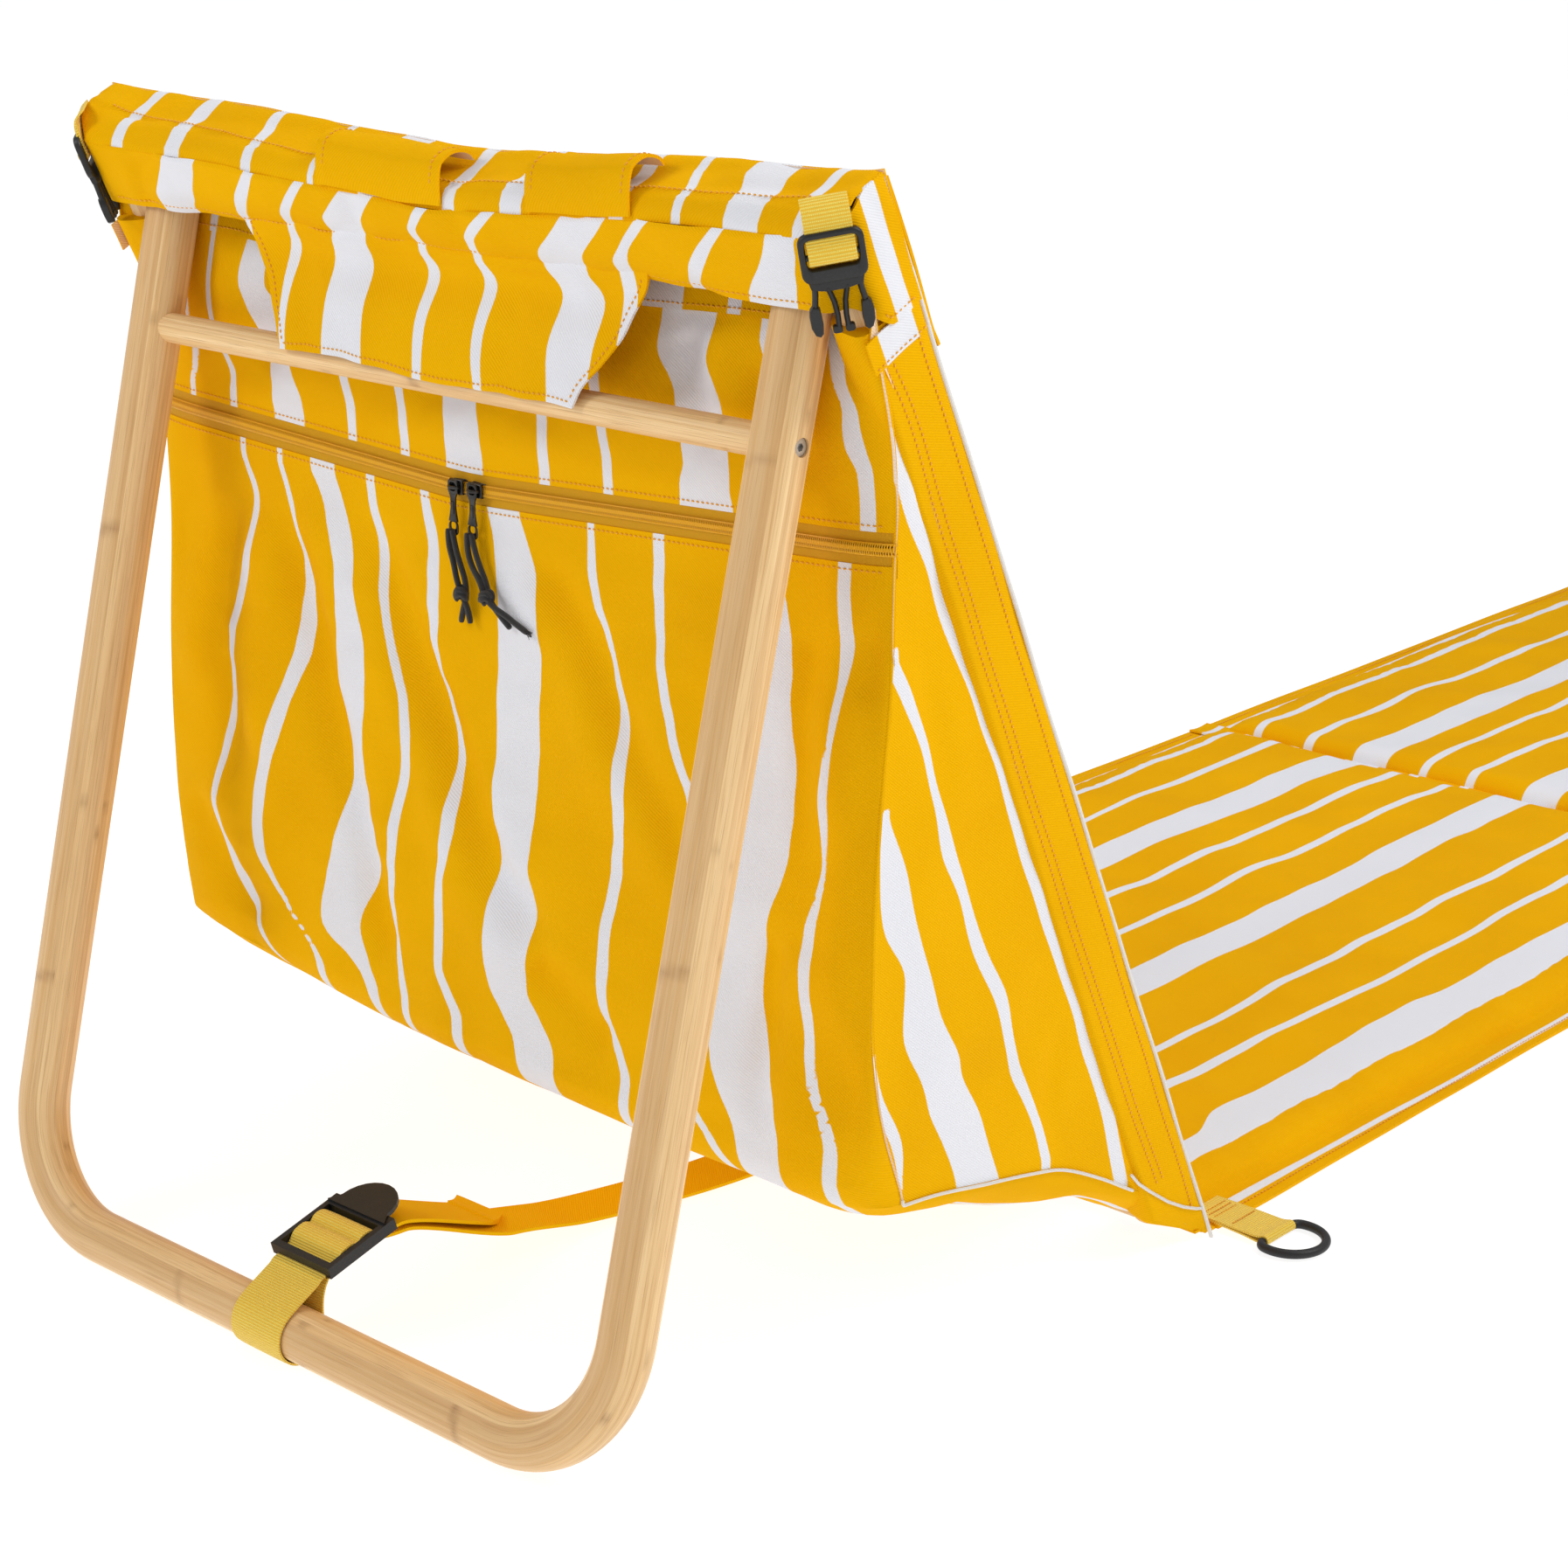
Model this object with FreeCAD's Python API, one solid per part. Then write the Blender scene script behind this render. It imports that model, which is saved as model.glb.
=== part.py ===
import FreeCAD, Part
import math
import os

V = FreeCAD.Vector

# Bamboo folding recliner: a padded mat lies on the floor, its backrest leans
# rearward and is propped by a bent bamboo U-frame.  A zipped wedge bag hangs on
# the back of the backrest.  Millimetres, +Z up, X across the width, -Y towards
# the foot end.  The origin is the centre of the footprint, on the floor.

# ---------------------------------------------------------------- main sizes
Y0 = 514.6            # floor line of the backrest's front face
RECLINE = 25.0        # backrest, degrees behind vertical
WIDTH = 582.0         # overall width of mat and backrest
HW = WIDTH / 2.0

LEG_D = 30.0          # rear U-frame, round laminated bamboo
LEG_X = 241.4         # leg centre line from the middle
LEG_TILT = 14.9       # legs, degrees ahead of vertical
BAR_Y = 454.4         # floor bar behind the backrest's floor line
BAR_Z = 15.3          # floor bar centre height: its webbing loop is pressed flat under it
BEND_R = 73.0         # centre line radius of the two bends
RUNG_D = 17.0
RUNG_S = 522.0        # rung height along the leg, from the floor bar

POLE_D = 28.0         # side poles of the hidden front frame
POLE_X = 272.2
POLE_R = 19.0         # pole centre behind the front face
POLE_A0, POLE_A1 = 18.0, 702.0
TOPBAR_D, TOPBAR_A = 16.0, 692.0
BOTBAR_D, BOTBAR_A = 20.0, 36.0

BOLT_R = 4.0          # pivot bolt shank
BOLT_FIT = 0.05       # running clearance of the leg on its bolt

TOP_A = 720.0         # top of the hood along the backrest
HOOD_R = 43.0         # rear face of the hood
HOOD_HEM = 668.0      # rear hem of the hood
CLOTH = 1.6           # doubled canvas
CHAMFER = 18.0        # the hood's rear corners, where the top straps lie

SEAT_Y0, SEAT_Y1 = -8.0, -796.0      # seat pad, from the backrest forward
LEG_Y0, LEG_Y1 = -814.0, -1500.0     # leg pad
PAD_Z = 16.5

ZIP_A = 534.8         # zipper line along the backrest

SB, CB = math.sin(math.radians(RECLINE)), math.cos(math.radians(RECLINE))
ST, CT = math.sin(math.radians(LEG_TILT)), math.cos(math.radians(LEG_TILT))


# ------------------------------------------------------------------- frames
def bp(x, a, r):
    """Backrest frame: a runs up the front face, r is the depth behind it."""
    return V(x, Y0 + a * SB + r * CB, a * CB - r * SB)


def lp(x, s, q):
    """Leg frame: s runs up the leg from the floor bar, q is behind its plane."""
    return V(x, Y0 + BAR_Y - s * ST + q * CT, BAR_Z + s * CT + q * ST)


def wp(x, y, z):
    return V(x, Y0 + y, z)


UB = V(0, SB, CB)      # up the backrest
NB = V(0, CB, -SB)     # out of its back
UL = V(0, -ST, CT)     # up the leg
NL = V(0, CT, ST)
X = V(1, 0, 0)


def poly(points):
    return Part.Face(Part.makePolygon(list(points) + [points[0]]))


def prism(points, x0, x1, place):
    """A side profile, given in the frame `place`, drawn across from x0 to x1."""
    face = poly([place(x0, p[0], p[1]) for p in points])
    return face.extrude(V(x1 - x0, 0, 0))


def cyl(radius, start, direction, length):
    return Part.makeCylinder(radius, length, start, direction)


def cylx(radius, x0, x1, centre):
    """A round bar along X through the point `centre`."""
    lo, hi = min(x0, x1), max(x0, x1)
    return Part.makeCylinder(radius, hi - lo, V(lo, centre.y, centre.z), X)


def obox(origin, ex, ey, ez, sx, sy, sz):
    """A box with its corner at origin and edges along three directions."""
    p = [origin, origin + ex * sx, origin + ex * sx + ey * sy, origin + ey * sy]
    return poly(p).extrude(ez * sz)


def fuse(*parts):
    out = parts[0]
    for p in parts[1:]:
        out = out.fuse(p)
    return out.removeSplitter()


NODES = {}


def keep(name, *solids):
    """Each node is one solid, or a group of separate solids."""
    shape = solids[0] if len(solids) == 1 else Part.makeCompound(list(solids))
    NODES[name] = shape


def above_floor(shape, z=0.4):
    box = Part.makeBox(1400, 3000, 1200, V(-700, -1500, z))
    return shape.common(box)


# where the leg's centre line meets the plane of the poles: the pivot
def solve_pivot():
    lo, hi = 300.0, 700.0
    for _ in range(60):
        mid = (lo + hi) / 2
        p = lp(0, mid, 0) - V(0, Y0, 0)
        r = p.y * CB - p.z * SB
        if r > POLE_R:
            lo = mid
        else:
            hi = mid
    s = (lo + hi) / 2
    p = lp(0, s, 0) - V(0, Y0, 0)
    return s, p.y * SB + p.z * CB


PIV_S, PIV_A = solve_pivot()
PIVOT = bp(0, PIV_A, POLE_R)

# --------------------------------------------------------------- rear U-frame
LR = LEG_D / 2
leg_top = PIV_S + LR
h = LEG_X
pieces = [cyl(LR, lp(-h + BEND_R, 0, 0), X, 2 * (h - BEND_R))]
for sx in (-1, 1):
    pieces.append(cyl(LR, lp(sx * h, BEND_R, 0), UL, leg_top - BEND_R))
    end = Part.Face(Part.Wire([Part.Circle(lp(sx * h, BEND_R, 0), UL, LR).toShape()]))
    pieces.append(end.revolve(lp(sx * (h - BEND_R), BEND_R, 0), NL, sx * 90.0))
frame = pieces[0]
for piece in pieces[1:]:
    frame = frame.fuse(piece)
plain_frame = frame.copy()
# each leg ends in a round nose about its pivot bolt
for sx in (-1, 1):
    blank = obox(lp(sx * h - 20, PIV_S, -25), X, NL, UL, 40, 50, 30)
    nose = cylx(LR + 0.3, sx * h - 22, sx * h + 22, PIVOT)
    frame = frame.cut(blank.cut(nose))
RUNG = lp(0, RUNG_S, 0)
for sx in (-1, 1):
    inner, outer = sx * (LEG_X - LR), sx * (LEG_X + LR)
    frame = frame.cut(cylx(BOLT_R + BOLT_FIT, inner - sx * 4, outer + sx * 4, PIVOT))
    frame = frame.cut(cylx(8.0, inner - sx * 3, inner + sx * 4.6, PIVOT))
    frame = frame.cut(cylx(2.6, inner - sx * 4, outer + sx * 4, RUNG))
    frame = frame.cut(cylx(4.8, outer - sx * 4.5, outer + sx * 4, RUNG))
keep("rear_frame_tube", frame)

# cross rung, its ends shaped to sit on the legs
rung = cylx(RUNG_D / 2, -LEG_X, LEG_X, RUNG).cut(plain_frame)
for sx in (-1, 1):
    rung = rung.cut(cylx(2.5, sx * 240, sx * 198, RUNG))
keep("cross_rung", rung)

screws = []
for sx in (-1, 1):
    face = sx * (LEG_X + LR - 4.5)
    head = cylx(4.5, face, face + sx * 2.8, RUNG)
    hexa = [V(face + sx * 1.0, RUNG.y + 2.2 * math.cos(math.radians(60 * k)),
              RUNG.z + 2.2 * math.sin(math.radians(60 * k))) for k in range(6)]
    recess = poly(hexa).extrude(V(sx * 3, 0, 0))
    shank = cylx(2.5, face, sx * 202, RUNG)
    tip = Part.makeCone(0.6, 2.5, 4, V(sx * 198.2, RUNG.y, RUNG.z), V(sx, 0, 0))
    screws.append(fuse(head, shank, tip).cut(recess))
keep("rung_screws", *screws)

# --------------------------------------------------------- pivots in the hood
bolts, nuts, washers = [], [], []
for sx in (-1, 1):
    head = cylx(7.0, sx * 227.2, sx * 230.6, PIVOT)
    hexa = [V(sx * 229.2, PIVOT.y + 2.6 * math.cos(math.radians(60 * k)),
              PIVOT.z + 2.6 * math.sin(math.radians(60 * k))) for k in range(6)]
    recess = poly(hexa).extrude(V(-sx * 4, 0, 0))
    bolts.append(fuse(head, cylx(BOLT_R, sx * 230.6, sx * 285.4, PIVOT)).cut(recess))
    nut = cylx(7.0, sx * 281.4, sx * 285.6, PIVOT).cut(cylx(BOLT_R, sx * 270, sx * 290, PIVOT))
    nuts.append(nut)
    washers.append(cylx(9.0, sx * 256.5, sx * 258.1, PIVOT).cut(
        cylx(BOLT_R + 0.05, sx * 250, sx * 262, PIVOT)))
keep("pivot_bolts", *bolts)
keep("pivot_nuts", *nuts)
keep("pivot_washers", *washers)

# ------------------------------------------------- hidden front frame in the cover
TOPC, BOTC = bp(0, TOPBAR_A, POLE_R), bp(0, BOTBAR_A, POLE_R)
poles = {}
for name, sx in (("left", 1), ("right", -1)):
    poles[sx] = cyl(POLE_D / 2, bp(sx * POLE_X, POLE_A0, POLE_R), UB, POLE_A1 - POLE_A0)
plain_poles = fuse(poles[1], poles[-1])
frame_screws = []
for name, sx in (("left", 1), ("right", -1)):
    pole = poles[sx]
    out = sx * (POLE_X + POLE_D / 2)
    pole = pole.cut(cylx(BOLT_R, sx * 250, sx * 290, PIVOT))
    pole = pole.cut(cylx(8.0, out - sx * 4.9, out + sx * 4, PIVOT))
    for c in (TOPC, BOTC):
        pole = pole.cut(cylx(2.5, sx * 250, sx * 290, c))
        pole = pole.cut(cylx(4.8, out - sx * 4.5, out + sx * 4, c))
        face = out - sx * 4.5
        frame_screws.append(fuse(cylx(4.5, face, face + sx * 2.8, c),
                                 cylx(2.5, face, sx * 232, c)))
    keep("front_pole_" + name, pole)
for name, c, d in (("front_top_bar", TOPC, TOPBAR_D), ("front_bottom_bar", BOTC, BOTBAR_D)):
    bar = cylx(d / 2, -POLE_X, POLE_X, c).cut(plain_poles)
    for sx in (-1, 1):
        bar = bar.cut(cylx(2.5, sx * 270, sx * 232, c))
    keep(name, bar)
keep("front_frame_screws", *frame_screws)

# ------------------------------------------------------------ backrest fabric
sheet = prism([(20, 0), (716, 0), (716, 1.6), (20, 1.6)], -HW + 2, HW - 2, bp)
pad = prism([(54, 1.0), (60, 14), (590, 14), (600, 1.0)], -220, 220, bp)
keep("backrest_panel", fuse(sheet, pad))

for name, sx in (("left", 1), ("right", -1)):
    prof = [(257.0, 2.0), (291.0, 2.0), (291.0, 6.0), (288.6, 11.0), (288.6, 31.0),
            (283.0, 39.0), (263.0, 40.0), (257.0, 36.0)]
    face = poly([bp(sx * x, 16.0, r) for x, r in prof])
    sleeve = face.extrude(UB * 628.0)
    sleeve = sleeve.cut(cyl(POLE_D / 2 + 0.15, bp(sx * POLE_X, 0, POLE_R), UB, 700))
    for c in (BOTC,):
        sleeve = sleeve.cut(cylx(BOTBAR_D / 2 + 0.2, sx * 250, sx * 262, c))
    sleeve = above_floor(sleeve, 0.05)
    keep("side_sleeve_" + name, sleeve)

# --------------------------------------------------- wedge bag on the back
# rear profile of the bag in (a, r); the front line runs behind the padding
REAR = [(648.0, 14.0), (612.0, 40.0), (600.0, 46.0), (562.0, 58.5), (526.0, 76.5),
        (308.0, 194.0), (232.0, 226.0), (222.0, 224.0), (56.0, 47.0)]
W = 2.0


def side_x(r):
    """Half width of the bag: it narrows a little towards its rear face."""
    return 288.0 - 0.10 * max(0.0, r - 41.0)


def strip(p, q, t, x0, x1):
    """A cloth panel between two profile points, its thickness t inward."""
    (a0, r0), (a1, r1) = p, q
    da, dr = a1 - a0, r1 - r0
    n = math.hypot(da, dr)
    na, nr = dr / n * t, -da / n * t
    return prism([(a0, r0), (a1, r1), (a1 + na, r1 + nr), (a0 + na, r0 + nr)], x0, x1, bp)


def inset(points, t):
    """A thin band under an open run of profile points."""
    low = []
    m = len(points)
    for i, (a, r) in enumerate(points):
        ns = []
        for j, k in ((i - 1, i), (i, i + 1)):
            if 0 <= j and k < m:
                da, dr = points[k][0] - points[j][0], points[k][1] - points[j][1]
                n = math.hypot(da, dr)
                ns.append((dr / n, -da / n))
        na, nr = sum(v[0] for v in ns), sum(v[1] for v in ns)
        n = math.hypot(na, nr)
        na, nr = na / n, nr / n
        c = na * ns[0][0] + nr * ns[0][1]
        low.append((a + na * t / c, r + nr * t / c))
    return low


def band(points, t, x0, x1):
    low = inset(points, t)
    return prism(points + low[::-1], x0, x1, bp)


# walking down the rear profile, the inside of the bag is on the side where
# the band's inset goes when t is positive


def on_rear(a):
    for (a0, r0), (a1, r1) in zip(REAR[:-2], REAR[1:-1]):
        if min(a0, a1) <= a <= max(a0, a1):
            return r0 + (r1 - r0) * (a - a0) / (a1 - a0)
    raise ValueError(a)


up_edge = (ZIP_A + 5.5, on_rear(ZIP_A + 5.5))
lo_edge = (ZIP_A - 5.5, on_rear(ZIP_A - 5.5))
upper = band([REAR[0], REAR[1], REAR[2], REAR[3], up_edge], -W, -255.5, 255.5)
wide = band([(600.0, 46.0), REAR[3], up_edge], -W, -285.0, 285.0)
keep("bag_upper_panel", fuse(upper, wide))
keep("bag_rear_panel", band([lo_edge, REAR[4], REAR[5], REAR[6]], -W, -271.0, 271.0))
keep("bag_bottom_panel", band([(230.4, 225.2), (222.0, 222.0), (57.5, 47.0)], -W, -271.0, 271.0))
for name, sx in (("left", 1), ("right", -1)):
    # the gusset is flat: it leans inward from the sleeve to the rear face
    pts = [(606.0, 41.0), (562.0, 55.4), (527.0, 73.0), (309.0, 190.6), (231.0, 221.4),
           (224.0, 219.6), (60.0, 43.0), (70.0, 41.0)]
    outer = [bp(sx * (287.0 - 0.08 * (r - 41.0)), a, r) for a, r in pts]
    inner = [bp(sx * (285.2 - 0.08 * (r - 41.0)), a, r) for a, r in pts]
    side = Part.makeLoft([Part.makePolygon(outer + [outer[0]]),
                          Part.makePolygon(inner + [inner[0]])], True, True)
    keep("bag_side_" + name, side)

# zipper: two tapes and the closed coil between them, on the rear face
d_a, d_r = REAR[4][0] - REAR[3][0], REAR[4][1] - REAR[3][1]
dn = math.hypot(d_a, d_r)
DA, DR = d_a / dn, d_r / dn                  # down the rear face at the zipper
NA, NR = -DR, DA                             # towards its outside
if NR < 0:
    NA, NR = -NA, -NR
ZC = (ZIP_A, on_rear(ZIP_A))


def zp(x, down, out):
    return bp(x, ZC[0] + DA * down + NA * out, ZC[1] + DR * down + NR * out)


ZD = zp(0, 1, 0) - zp(0, 0, 0)
ZN = zp(0, 0, 1) - zp(0, 0, 0)
# both halves of the zipper climb towards its ends: the sliders' weight pulls
# its middle down
MEET = 11.0           # where the two sliders meet
RISE = 0.048          # climb of the zipper per millimetre along it
tapes, coils = [], []
for side in (-1, 1):
    far, near = (262.0, MEET) if side > 0 else (-262.0, MEET)
    for t0, t1 in ((-13.0, -1.9), (1.9, 13.0)):
        d = -RISE * abs(far - MEET)
        tapes.append(poly([zp(near, t0, 0.2), zp(far, t0 + d, 0.2), zp(far, t1 + d, 0.2),
                           zp(near, t1, 0.2)]).extrude(ZN * 0.7))
    coils.append(poly([zp(near, -1.8, 0.1), zp(far, -1.8 + d, 0.1), zp(far, 1.8 + d, 0.1),
                       zp(near, 1.8, 0.1)]).extrude(ZN * 2.2))
keep("zipper_tapes", fuse(tapes[0], tapes[2]), fuse(tapes[1], tapes[3]))
keep("zipper_coil", fuse(*coils))

# two sliders, head to head, each with a metal pull and a knotted cord
SL, SWID, STH = 12.0, 8.4, 3.4
SD = -RISE * 7.6      # both sliders sit this far up the slope
for name, x0 in (("left", MEET + 7.6), ("right", MEET - 7.6)):
    body = obox(zp(x0 - SL / 2, SD - SWID / 2, 1.2), X, ZD, ZN, SL, SWID, STH)
    body = body.cut(obox(zp(x0 - SL, SD - 2.4, 0.0), X, ZD, ZN, SL * 2, 4.8, 2.6))
    bridge = obox(zp(x0 - 2.0, SD - 3.4, 1.2 + STH - 0.2), X, ZD, ZN, 4.0, 6.8, 3.2)
    bridge = bridge.cut(obox(zp(x0 - 4.0, SD - 1.9, 1.2 + STH), X, ZD, ZN, 8.0, 3.8, 1.9))
    keep("zip_slider_" + name, fuse(body, bridge))
    # the pull hangs down: an eye round the bridge, and a slot for the cord
    px, pd, po = x0, SD - 1.2, 5.0
    outer = obox(zp(px - 3.6, pd, po), X, ZD, ZN, 7.2, 28.0, 1.3)
    eye = obox(zp(px - 2.3, pd + 0.9, po - 1), X, ZD, ZN, 4.6, 4.4, 4)
    slot = obox(zp(px - 2.2, pd + 22.4, po - 1), X, ZD, ZN, 4.4, 3.9, 4)
    keep("zip_pull_" + name, outer.cut(eye).cut(slot))


# ------------------------------------------------ cords on the pulls
def route(points, radius):
    """Straight runs joined by arcs as large as the runs allow."""
    edges, start, radii = [], points[0], []
    for i in range(1, len(points) - 1):
        p0, p1, p2 = points[i - 1], points[i], points[i + 1]
        d0, d1 = (p0 - p1), (p2 - p1)
        l0, l1 = d0.Length, d1.Length
        d0 = d0.normalize()
        d1 = d1.normalize()
        turn = math.pi - math.acos(max(-1, min(1, d0.dot(d1))))
        cut = 0.45 * min(l0, l1)
        rad = cut / math.tan(turn / 2)
        radii.append(rad)
        a, b = p1 + d0 * cut, p1 + d1 * cut
        mid = (d0 + d1).normalize()
        centre = p1 + mid * math.hypot(rad, cut)
        m = centre - mid * rad
        edges.append(Part.makeLine(start, a))
        edges.append(Part.Arc(a, m, b).toShape())
        start = b
    edges.append(Part.makeLine(start, points[-1]))
    wire = Part.Wire(edges)
    first = (points[1] - points[0]).normalize()
    face = Part.Face(Part.Wire([Part.Circle(points[0], first, radius).toShape()]))
    tube = wire.makePipe(face)
    if tube.ShapeType != "Solid":
        tube = tube.Solids[0]
    print("cord: length %.1f mm, arc radii %s, volume ratio %.3f" % (
        wire.Length, " ".join("%.1f" % v for v in radii),
        tube.Volume / (math.pi * radius ** 2 * wire.Length)))
    return tube


CORD_R = 1.45
# strand points (across, down, out) from the slot of the pull to its cut end
CORDS = {
    "left": [[(17.0, 22.6, 8.2), (15.2, 31.0, 8.2), (12.4, 40.0, 7.4), (8.2, 49.5, 7.2),
              (7.6, 58.0, 7.0), (10.8, 66.0, 6.8), (12.9, 73.5, 6.4)],
             [(20.2, 22.6, 8.2), (20.4, 30.5, 8.4), (16.6, 40.5, 8.0), (13.0, 49.0, 9.4),
              (10.4, 57.5, 8.2), (6.4, 65.5, 7.0), (5.6, 73.0, 6.4)]],
    "right": [[(1.8, 22.6, 8.2), (-0.4, 31.0, 8.2), (-4.6, 40.5, 7.8), (-9.4, 49.0, 7.6),
               (-11.6, 57.5, 7.6), (-18.5, 64.0, 7.2), (-26.5, 70.0, 6.8)],
              [(5.0, 22.6, 8.2), (5.4, 30.5, 8.4), (2.0, 40.0, 8.4), (-6.8, 47.5, 10.0),
               (-9.4, 55.0, 9.8), (-16.5, 60.0, 9.4), (-24.2, 62.6, 8.8), (-31.6, 66.6, 7.6),
               (-40.0, 70.0, 7.2)]],
}
KNOTS = {"left": (10.2, 57.0, 8.3), "right": (-10.4, 55.5, 9.0)}
for side, strands in CORDS.items():
    for tag, pts in zip("ab", strands):
        keep("pull_cord_%s_%s" % (side, tag), route([zp(*p) for p in pts], CORD_R))
    x, d, o = KNOTS[side]
    knot = Part.makeSphere(4.6, zp(x, d, o))
    keep("pull_knot_" + side, knot)

# ----------------------------------------------------------------- hood
out_prof = [(652.0, -2.0), (TOP_A, -2.0), (TOP_A, 38.0), (716.5, HOOD_R), (HOOD_HEM, HOOD_R)]
outer = prism(out_prof, -291.5, 291.5, bp)
in_prof = [(630.0, -0.4), (TOP_A - CLOTH, -0.4), (TOP_A - CLOTH, 37.3),
           (715.9, HOOD_R - CLOTH), (630.0, HOOD_R - CLOTH)]
inner = prism(in_prof, -291.5 + CLOTH, 291.5 - CLOTH, bp)
for sx in (-1, 1):
    for tgt, k in (("o", 0.0), ("i", CLOTH)):
        x1 = 291.5 - k
        r1 = HOOD_R - k
        off = k * (2 - math.sqrt(2)) / 2
        wedge = poly([bp(sx * (x1 - CHAMFER + off - 0.001), 600, r1 + 3), bp(sx * (x1 - CHAMFER + off), 600, r1),
                      bp(sx * x1, 600, r1 - CHAMFER + off), bp(sx * (x1 + 3), 600, r1 - CHAMFER + off),
                      bp(sx * (x1 + 3), 600, r1 + 3)]).extrude(UB * 200)
        if tgt == "o":
            outer = outer.cut(wedge)
        else:
            inner = inner.cut(wedge)
hood = outer.cut(inner)
top_half = prism([(TOP_A - CLOTH, -5), (TOP_A + 5, -5), (TOP_A + 5, 60), (TOP_A - CLOTH, 60)],
                 -400, 400, bp)
front_half = prism([(600, -5), (TOP_A + 5, -5), (TOP_A + 5, -0.4), (600, -0.4)], -400, 400, bp)
cap = hood.common(fuse(top_half, front_half))
flap = hood.cut(fuse(top_half, front_half))
# the tongue hangs over the rung, clear of it
t0, t1 = (HOOD_HEM + 0.5, HOOD_R - CLOTH), (614.0, 79.0)
da, dr = t1[0] - t0[0], t1[1] - t0[1]
n = math.hypot(da, dr)
oa, orr = -dr / n * -CLOTH, -da / n * CLOTH
if orr < 0:
    oa, orr = -oa, -orr
tw = [bp(146, t0[0], t0[1]), bp(112, t1[0], t1[1]), bp(-112, t1[0], t1[1]), bp(-146, t0[0], t0[1])]
tongue = poly(tw).extrude(bp(0, oa, orr) - bp(0, 0, 0))
flap = fuse(flap, tongue)
keep("hood_cap", cap.removeSplitter())
keep("hood_flap", flap)

keep("headrest_flap", prism([(622, -2.4), (716, -2.4), (714, -6.0), (626, -6.0)], -287, 287, bp))

loops = []
for x0, x1 in ((-20.0, 74.0), (-160.0, -86.0)):
    arch = prism([(TOP_A + 0.05, 11.5), (TOP_A + 6.5, 13.5), (TOP_A + 10.0, 22.0), (TOP_A + 10.0, 31.0),
                  (TOP_A + 6.5, 39.0), (TOP_A + 0.05, 41.0)], x0, x1, bp)
    hole = prism([(TOP_A + 1.2, 13.2), (TOP_A + 5.9, 14.8), (TOP_A + 8.8, 22.6), (TOP_A + 8.8, 30.4),
                  (TOP_A + 5.9, 37.8), (TOP_A + 1.2, 39.4)], x0 - 1, x1 + 1, bp)
    loops.append(arch.cut(hole))
keep("hood_tunnel_loops", *loops)

# ------------------------------- top straps with the male halves of side-release buckles
R2 = math.sqrt(0.5)
for name, sx in (("left", 1), ("right", -1)):
    out = V(sx * R2, 0, 0) + NB * R2          # out of the chamfered corner
    across = V(-sx * R2, 0, 0) + NB * R2      # along the chamfer
    mid = bp(sx * (291.5 - CHAMFER / 2), 0, HOOD_R - CHAMFER / 2)

    def cp(t, a, o):
        return mid + UB * a + across * t + out * o

    def cbox(t0, t1, a0, a1, o0, o1):
        return obox(cp(t0, a0, o0), across, UB, out, t1 - t0, a1 - a0, o1 - o0)

    # the webbing comes from the seam, runs under the frame bar, over the
    # centre bar and back up behind itself
    strap = fuse(cbox(-11, 11, 695.2, 716, 0.4, 1.7), cbox(-11, 11, 691.2, 695.2, 0.4, 7.0),
                 cbox(-11, 11, 695.2, 703.0, 5.7, 7.0), cbox(-11, 11, 691.2, 695.2, 5.7, 7.0))
    strap = strap.cut(cbox(-11.5, 11.5, 692.4, 701.0, 1.7, 5.7))
    keep("top_strap_" + name, strap)
    # buckle: frame with two slots, two sprung prongs and a centre guide
    fr = cbox(-15.5, 15.5, 683.5, 709.0, 2.0, 5.4)
    fr = fr.cut(cbox(-11.6, 11.6, 698.6, 705.2, 0.5, 9)).cut(cbox(-11.6, 11.6, 686.8, 695.4 - 0.0, 0.5, 9))
    bar = cbox(-12.5, 12.5, 695.4, 698.6, 2.2, 5.2)
    fr = fuse(fr, bar)
    guide = cbox(-2.2, 2.2, 655.0, 684.0, 2.4, 5.0)
    prongs = []
    for s in (-1, 1):
        arm = poly([cp(s * 8.0, 684.0, 2.3), cp(s * 13.2, 684.0, 2.3), cp(s * 12.4, 671.0, 2.3),
                    cp(s * 14.6, 668.0, 2.3), cp(s * 14.2, 660.0, 2.3), cp(s * 10.4, 655.0, 2.3),
                    cp(s * 8.0, 659.0, 2.3), cp(s * 9.4, 671.0, 2.3)]).extrude(out * 2.9)
        prongs.append(arm)
    keep("top_buckle_" + name, fuse(fr, guide, *prongs))

# ------------------------------------------------------------------- mat
seat = prism([(SEAT_Y0, 0.0), (SEAT_Y0, 9.0), (SEAT_Y0 - 10, PAD_Z), (SEAT_Y1 + 16, PAD_Z),
              (SEAT_Y1, 6.0), (SEAT_Y1, 0.0)], -262, 262, wp)
hem = prism([(SEAT_Y0, 0), (SEAT_Y0, 3.0), (SEAT_Y1, 3.0), (SEAT_Y1, 0)], -HW + 1, HW - 1, wp)
keep("seat_pad", fuse(seat, hem))
legp = prism([(LEG_Y0, 0.0), (LEG_Y0, 10.0), (LEG_Y0 - 8, PAD_Z), (LEG_Y1 + 12, PAD_Z),
              (LEG_Y1, 9.0), (LEG_Y1, 0.0)], -262, 262, wp)
hem2 = prism([(LEG_Y0, 0), (LEG_Y0, 3.0), (LEG_Y1, 3.0), (LEG_Y1, 0)], -HW + 1, HW - 1, wp)
keep("leg_pad", fuse(legp, hem2))
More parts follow.
